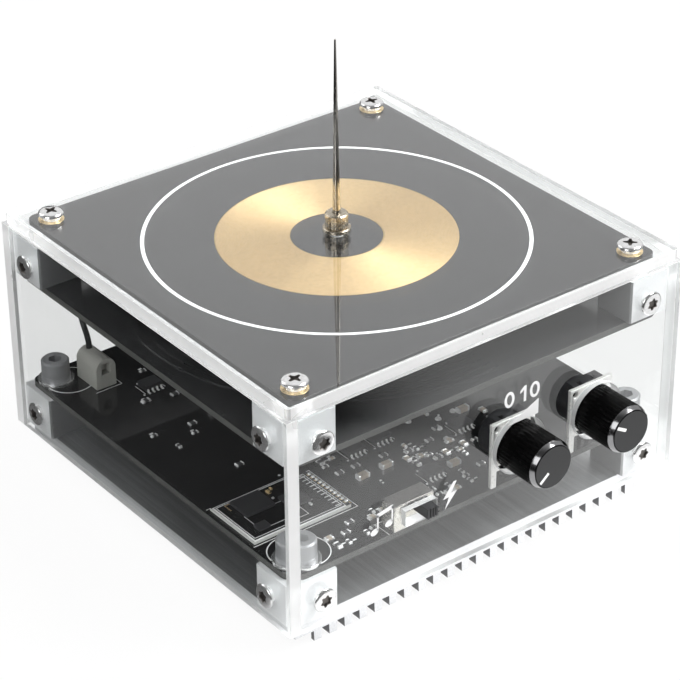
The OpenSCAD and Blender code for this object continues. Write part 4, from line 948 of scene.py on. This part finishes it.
def tube(s, pts, r, seg):
    """A round tube of level rings along points that rise."""
    n = len(pts)
    v = [(p.x + x, p.y + y, p.z) for p in pts for x, y in circle(r, seg)]
    f = [(j * seg + i, j * seg + (i + 1) % seg, (j + 1) * seg + (i + 1) % seg, (j + 1) * seg + i)
         for j in range(n - 1) for i in range(seg)]
    f += [tuple(reversed(range(seg))), tuple((n - 1) * seg + i for i in range(seg))]
    s.put(v, f)


s = Shape()
tube(s, smooth_path(ROUTE, LEAD_STEPS), LEAD_R, LEAD_SIDES)
o = s.build("coil-lead-jacket", [RUBBER], "lead_jacket", smooth=60)
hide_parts("coil_lead")

# Controls


for side in ("left", "right"):
    fit_copy(side + "_control", side + "-control-moulded", [BLACK_CASE], bevel=0.2, slot="black_moulding")
    fit_copy(side + "_control_plate", side + "-control-plate-plated", [PLATE], bevel=0.12, slot="nickel")
    fit_copy(side + "_control_nut", side + "-control-nut-plated", [PLATE], bevel=0.12, slot="screw_steel")
    fit_copy(side + "_shaft", side + "-shaft-turned", [NICKEL], bevel=0.1, body=side + "_dial", slot="tin")


def shell_faces(n, c):
    """0 the sides, 1 the top."""
    return 1 if n.z > 0.9 else 0


fit_copy("switch_shell", "switch-shell-stamped", [NICKEL, SHELL_TOP], shell_faces, bevel=0.25, slot="nickel")
fit_copy("switch_lever", "switch-lever-moulded", [BLACK_CASE], bevel=0.08, body="lever",
         slot="black_moulding")
paint("switch_pins", TIN)


SKIRT_R, WAIST_R, FLUTED_R, WELL_R, SHAFT_R, CAP_R = 6.2, 6.1, 6.17, 4.0, 3.06, 5.2
SKIRT_H, RIM_H, FLUTE, FLUTE_POINTS, KNOB_POINTS = 1.46, 1.22, 0.09, 8, 288


def dial(side):
    """A fluted gloss knob with a bright turned rim, its grey cap and its white mark."""
    body = side + "_dial"
    lo, hi = mm_box(side + "_knob")
    length = hi.y - lo.y
    m = at((lo.x + hi.x) / 2, hi.y, (lo.z + hi.z) / 2, turn(90, "X"))

    def flute(i, h):
        if h < SKIRT_H - 0.01 or h > length - RIM_H - 0.03:
            return 0.0
        share = i % FLUTE_POINTS / FLUTE_POINTS
        return -FLUTE * (0.5 + 0.5 * math.cos(2 * math.pi * share)) ** 1.5

    s = Shape()
    s.lathe([(WELL_R, 1.2), (WELL_R, 0.1), (WELL_R + 0.1, 0), (SKIRT_R - 0.2, 0), (SKIRT_R, 0.2),
             (SKIRT_R, 1.3), (WAIST_R, SKIRT_H), (FLUTED_R, 1.6), (FLUTED_R, length - 1.35),
             (WAIST_R, length - RIM_H)], KNOB_POINTS, 0, m, wave=flute)
    s.lathe([(WAIST_R, length - RIM_H), (6.08, length - 1.1), (5.52, length - 0.06), (5.42, length)],
            144, 1, m)
    s.lathe([(5.42, length), (5.27, length), (CAP_R, length - 0.08), (CAP_R, length - 0.8),
             (WELL_R, length - 0.8)], 144, 0, m)
    s.lathe([(SHAFT_R, 1.2), (WELL_R, 1.2)], 96, 0, m)
    o = s.build(side + "-knob-fluted", [KNOB, RIM], "knob_black", body, smooth=28)
    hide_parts(side + "_knob")
    fit_copy(side + "_knob_cap", side + "-knob-cap-satin", [CAP], bevel=0.06, body=body, slot="cap_grey")
    fit_copy(side + "_knob_mark", side + "-knob-mark-white", [MARK], bevel=0.03, segments=1, body=body,
             slot="mark_white")


for side in ("left", "right"):
    dial(side)

# Power inlet

fit_copy("power_inlet", "power-inlet-moulded", [BLACK_CASE], bevel=0.25, slot="black_moulding")
fit_copy("power_inlet_pin", "power-inlet-pin-plated", [NICKEL], bevel=0.25, slot="tin")

# Prints on the front panel

PRINT_Z = mm_box("front_panel")[0].z - 8.5


def on_front(x, z):
    """Local x right, y up, z out of the front panel, from heights in the photograph's fit."""
    return at(x, FACE, z + PRINT_Z, turn(90, "X"))


def ellipse(cx, cy, rx, ry, n, tilt=0.0):
    """Points round an ellipse that is tilted by some radians."""
    c, s = math.cos(tilt), math.sin(tilt)
    return [(cx + rx * x * c - ry * y * s, cy + rx * x * s + ry * y * c) for x, y in circle(1, n)]


ink = Shape()
# A wedge over the left knob, for quiet to loud, with 0 and 10 over its two ends
WEDGE = ((4.6, 39.9), (13.8, 39.9), (13.8, 44.0))
ONE = ((9.2, 44.7), (9.95, 44.7), (9.95, 48.9), (9.3, 48.9), (8.1, 47.9), (8.1, 47.1), (9.2, 47.9))
ZERO_X, ZERO_Y = (4.9, 12.5), 46.8
over_knob = on_front(0, 0)
ink.prism(WEDGE, 0, INK, matrix=over_knob)
for x in ZERO_X:
    ink.band(ellipse(x, ZERO_Y, 1.5, 2.1, 40), ellipse(x, ZERO_Y, 0.75, 1.35, 40), 0, INK, matrix=over_knob)
ink.prism(ONE, 0, INK, matrix=over_knob)
# Lightning and two beamed notes beside the switch
LIGHTNING = ((0.9, 3.4), (-2.1, -0.5), (-0.35, -0.35), (-1.5, -3.4), (2.1, 0.75), (0.35, 0.6), (1.9, 3.4))
STEMS_AND_BEAM = (((-1.75, -1.9), (-1.3, -1.9), (-1.3, 2.2), (-1.75, 2.2)),
                  ((2.35, -1.2), (2.8, -1.2), (2.8, 3.0), (2.35, 3.0)),
                  ((-1.75, 1.5), (2.8, 2.3), (2.8, 3.4), (-1.75, 2.6)))
HEADS = [ellipse(x, y, 1.15, 0.85, 32, 0.3) for x, y in ((-2.45, -2.0), (1.65, -1.3))]
ink.prism(LIGHTNING, 0, INK, matrix=on_front(-12.2, 28.0))
for outline in (*STEMS_AND_BEAM, *HEADS):
    ink.prism(outline, 0, INK, matrix=on_front(-31.5, 29.2))
ink.build("front-prints", [WHITE_INK], "mark_white")

# Floor, world and lamps


def math_node(t, op, a, b):
    """One sum of two sockets or numbers."""
    n = t.nodes.new("ShaderNodeMath")
    n.operation = op
    for k, v in enumerate((a, b)):
        if isinstance(v, (int, float)):
            n.inputs[k].default_value = v
        else:
            t.links.new(v, n.inputs[k])
    return n.outputs[0]


def rays(t):
    """How much a ray is the camera's own, straight or through clear plastic, and how much a reflection."""
    path = t.nodes.new("ShaderNodeLightPath").outputs
    glossy, diffuse = path["Glossy Depth"], path["Diffuse Depth"]
    bounced = math_node(t, "MINIMUM", math_node(t, "ADD", glossy, diffuse), 1.0)
    through = math_node(t, "MULTIPLY", path["Is Transmission Ray"], math_node(t, "SUBTRACT", 1.0, bounced))
    straight = math_node(t, "MAXIMUM", path["Is Camera Ray"], through)
    soft = math_node(t, "MINIMUM", diffuse, 1.0)
    shiny = math_node(t, "MINIMUM", glossy, 1.0)
    return straight, math_node(t, "MULTIPLY", shiny, math_node(t, "SUBTRACT", 1.0, soft))


def along(t, vector, way):
    """How far a vector reaches in a direction."""
    n = t.nodes.new("ShaderNodeVectorMath")
    n.operation = "DOT_PRODUCT"
    t.links.new(vector, n.inputs[0])
    n.inputs[1].default_value = way
    return n.outputs["Value"]


def eased(t, value, lo, hi, out_lo, out_hi):
    """A smooth step from one value to another."""
    n = t.nodes.new("ShaderNodeMapRange")
    n.interpolation_type = "SMOOTHSTEP"
    for k, v in zip(("From Min", "From Max", "To Min", "To Max"), (lo, hi, out_lo, out_hi)):
        n.inputs[k].default_value = v
    t.links.new(value, n.inputs["Value"])
    return n.outputs["Result"]


def mixed(t, fac, a, b):
    """Shader a where fac is 0, and b where it is 1."""
    n = t.nodes.new("ShaderNodeMixShader")
    t.links.new(fac, n.inputs[0])
    t.links.new(a, n.inputs[1])
    t.links.new(b, n.inputs[2])
    return n.outputs[0]


def glow(t, kind, strength):
    """A white emission or background; its strength is a number or a socket."""
    n = t.nodes.new(kind)
    n.inputs["Color"].default_value = (1, 1, 1, 1)
    if isinstance(strength, float):
        n.inputs["Strength"].default_value = strength
    else:
        t.links.new(strength, n.inputs["Strength"])
    return n.outputs[0]


def sheet(name, corners, mat):
    """One flat face of the studio, from corners in metres."""
    me = bpy.data.meshes.new(name)
    me.from_pydata(corners, [], [(0, 1, 2, 3)])
    me.materials.append(mat)
    o = bpy.data.objects.new(name, me)
    bpy.context.scene.collection.objects.link(o)
    return o


# Directions on the floor: of its bright front, and of the bright sector that reflections meet
FRONT_WAY, SECTOR_WAY = (0.35, -0.94, 0.0), (0.66, -0.751, 0.0)
EMISSION, BACKGROUND = "ShaderNodeEmission", "ShaderNodeBackground"


def pale_floor():
    """Nearly plain white with a soft shadow; reflections meet a bright front and a dark rest."""
    tree = Tree("pale_floor")
    t = tree.t
    matt = tree.add("ShaderNodeBsdfDiffuse")
    matt.inputs["Color"].default_value = (0.85, 0.85, 0.85, 1)
    place = tree.add("ShaderNodeTexCoord").outputs["Object"]
    size = tree.add("ShaderNodeVectorMath", operation="LENGTH")
    tree.link(place, size.inputs[0])
    way = tree.add("ShaderNodeVectorMath", operation="NORMALIZE")
    tree.link(place, way.inputs[0])
    close = eased(t, size.outputs["Value"], 0.1, 0.135, 1.0, 0.0)
    front = eased(t, along(t, place, FRONT_WAY), 0.0, 0.055, 0.05, 1.35)
    sector = eased(t, along(t, way.outputs["Vector"], SECTOR_WAY), 0.8, 0.97, 0.015, 1.0)
    met = math_node(t, "MAXIMUM", math_node(t, "MULTIPLY", front, close), sector)
    straight, mirrored = rays(t)
    lit = mixed(t, mirrored, matt.outputs["BSDF"], glow(t, EMISSION, met))
    white = math_node(t, "MULTIPLY", straight, 0.93)
    tree.link(mixed(t, white, lit, glow(t, EMISSION, 1.0)), tree.out.inputs["Surface"])
    return tree.m


FLOOR, FLOOR_Z = 3, -0.0001
outline = corners_of(-FLOOR, -FLOOR, FLOOR, FLOOR)
floor = sheet("floor", [(x, y, FLOOR_Z) for x, y in outline], pale_floor())


def dark_card():
    """A card that only reflections meet, so that the case's inside stays dark as in the photograph."""
    tree = Tree("dark_card")
    clear = tree.add("ShaderNodeBsdfTransparent").outputs["BSDF"]
    dark = glow(tree.t, EMISSION, 0.02)
    tree.link(mixed(tree.t, rays(tree.t)[1], clear, dark), tree.out.inputs["Surface"])
    return tree.m


CARD_Y, CARD_TOP, CARD_X0, CARD_X1 = 0.1, 0.083, -0.12, 0.06
outline = corners_of(CARD_X0, 0, CARD_X1, CARD_TOP)
card = sheet("card", [(x, CARD_Y, z) for x, z in outline], dark_card())

world = bpy.data.worlds.new("world")
bpy.context.scene.world = world
world.use_nodes = True
wt = world.node_tree
wt.nodes.clear()
world_out = wt.nodes.new("ShaderNodeOutputWorld")
SKY_WAY = (0.52, 0.683, 0.512)
sky = wt.nodes.new("ShaderNodeTexCoord").outputs["Generated"]
bright = eased(wt, along(wt, sky, SKY_WAY), 0.1, 0.95, 0.1, 0.85)
straight, mirrored = rays(wt)
around = mixed(wt, mirrored, glow(wt, BACKGROUND, 0.58), glow(wt, BACKGROUND, bright))
wt.links.new(mixed(wt, straight, around, glow(wt, BACKGROUND, 1.0)), world_out.inputs["Surface"])

LAMP_AIM, LAMP_SIZE = Vector((0, 0, 0.04)), 0.5


def lamp(name, place, watts):
    """A square lamp that looks at the case."""
    data = bpy.data.lights.new(name, "AREA")
    data.shape = "SQUARE"
    data.size = LAMP_SIZE
    data.energy = watts
    o = bpy.data.objects.new(name, data)
    bpy.context.scene.collection.objects.link(o)
    o.location = place
    o.rotation_mode = "QUATERNION"
    o.rotation_quaternion = (LAMP_AIM - Vector(place)).to_track_quat("-Z", "Y")


lamp("key", (0.5, -0.35, 0.75), 10.0)
lamp("back", (-0.35, 0.6, 0.5), 1.2)
lamp("left", (-0.75, -0.3, 0.45), 2.6)

bpy.context.scene.view_settings.view_transform = "Standard"
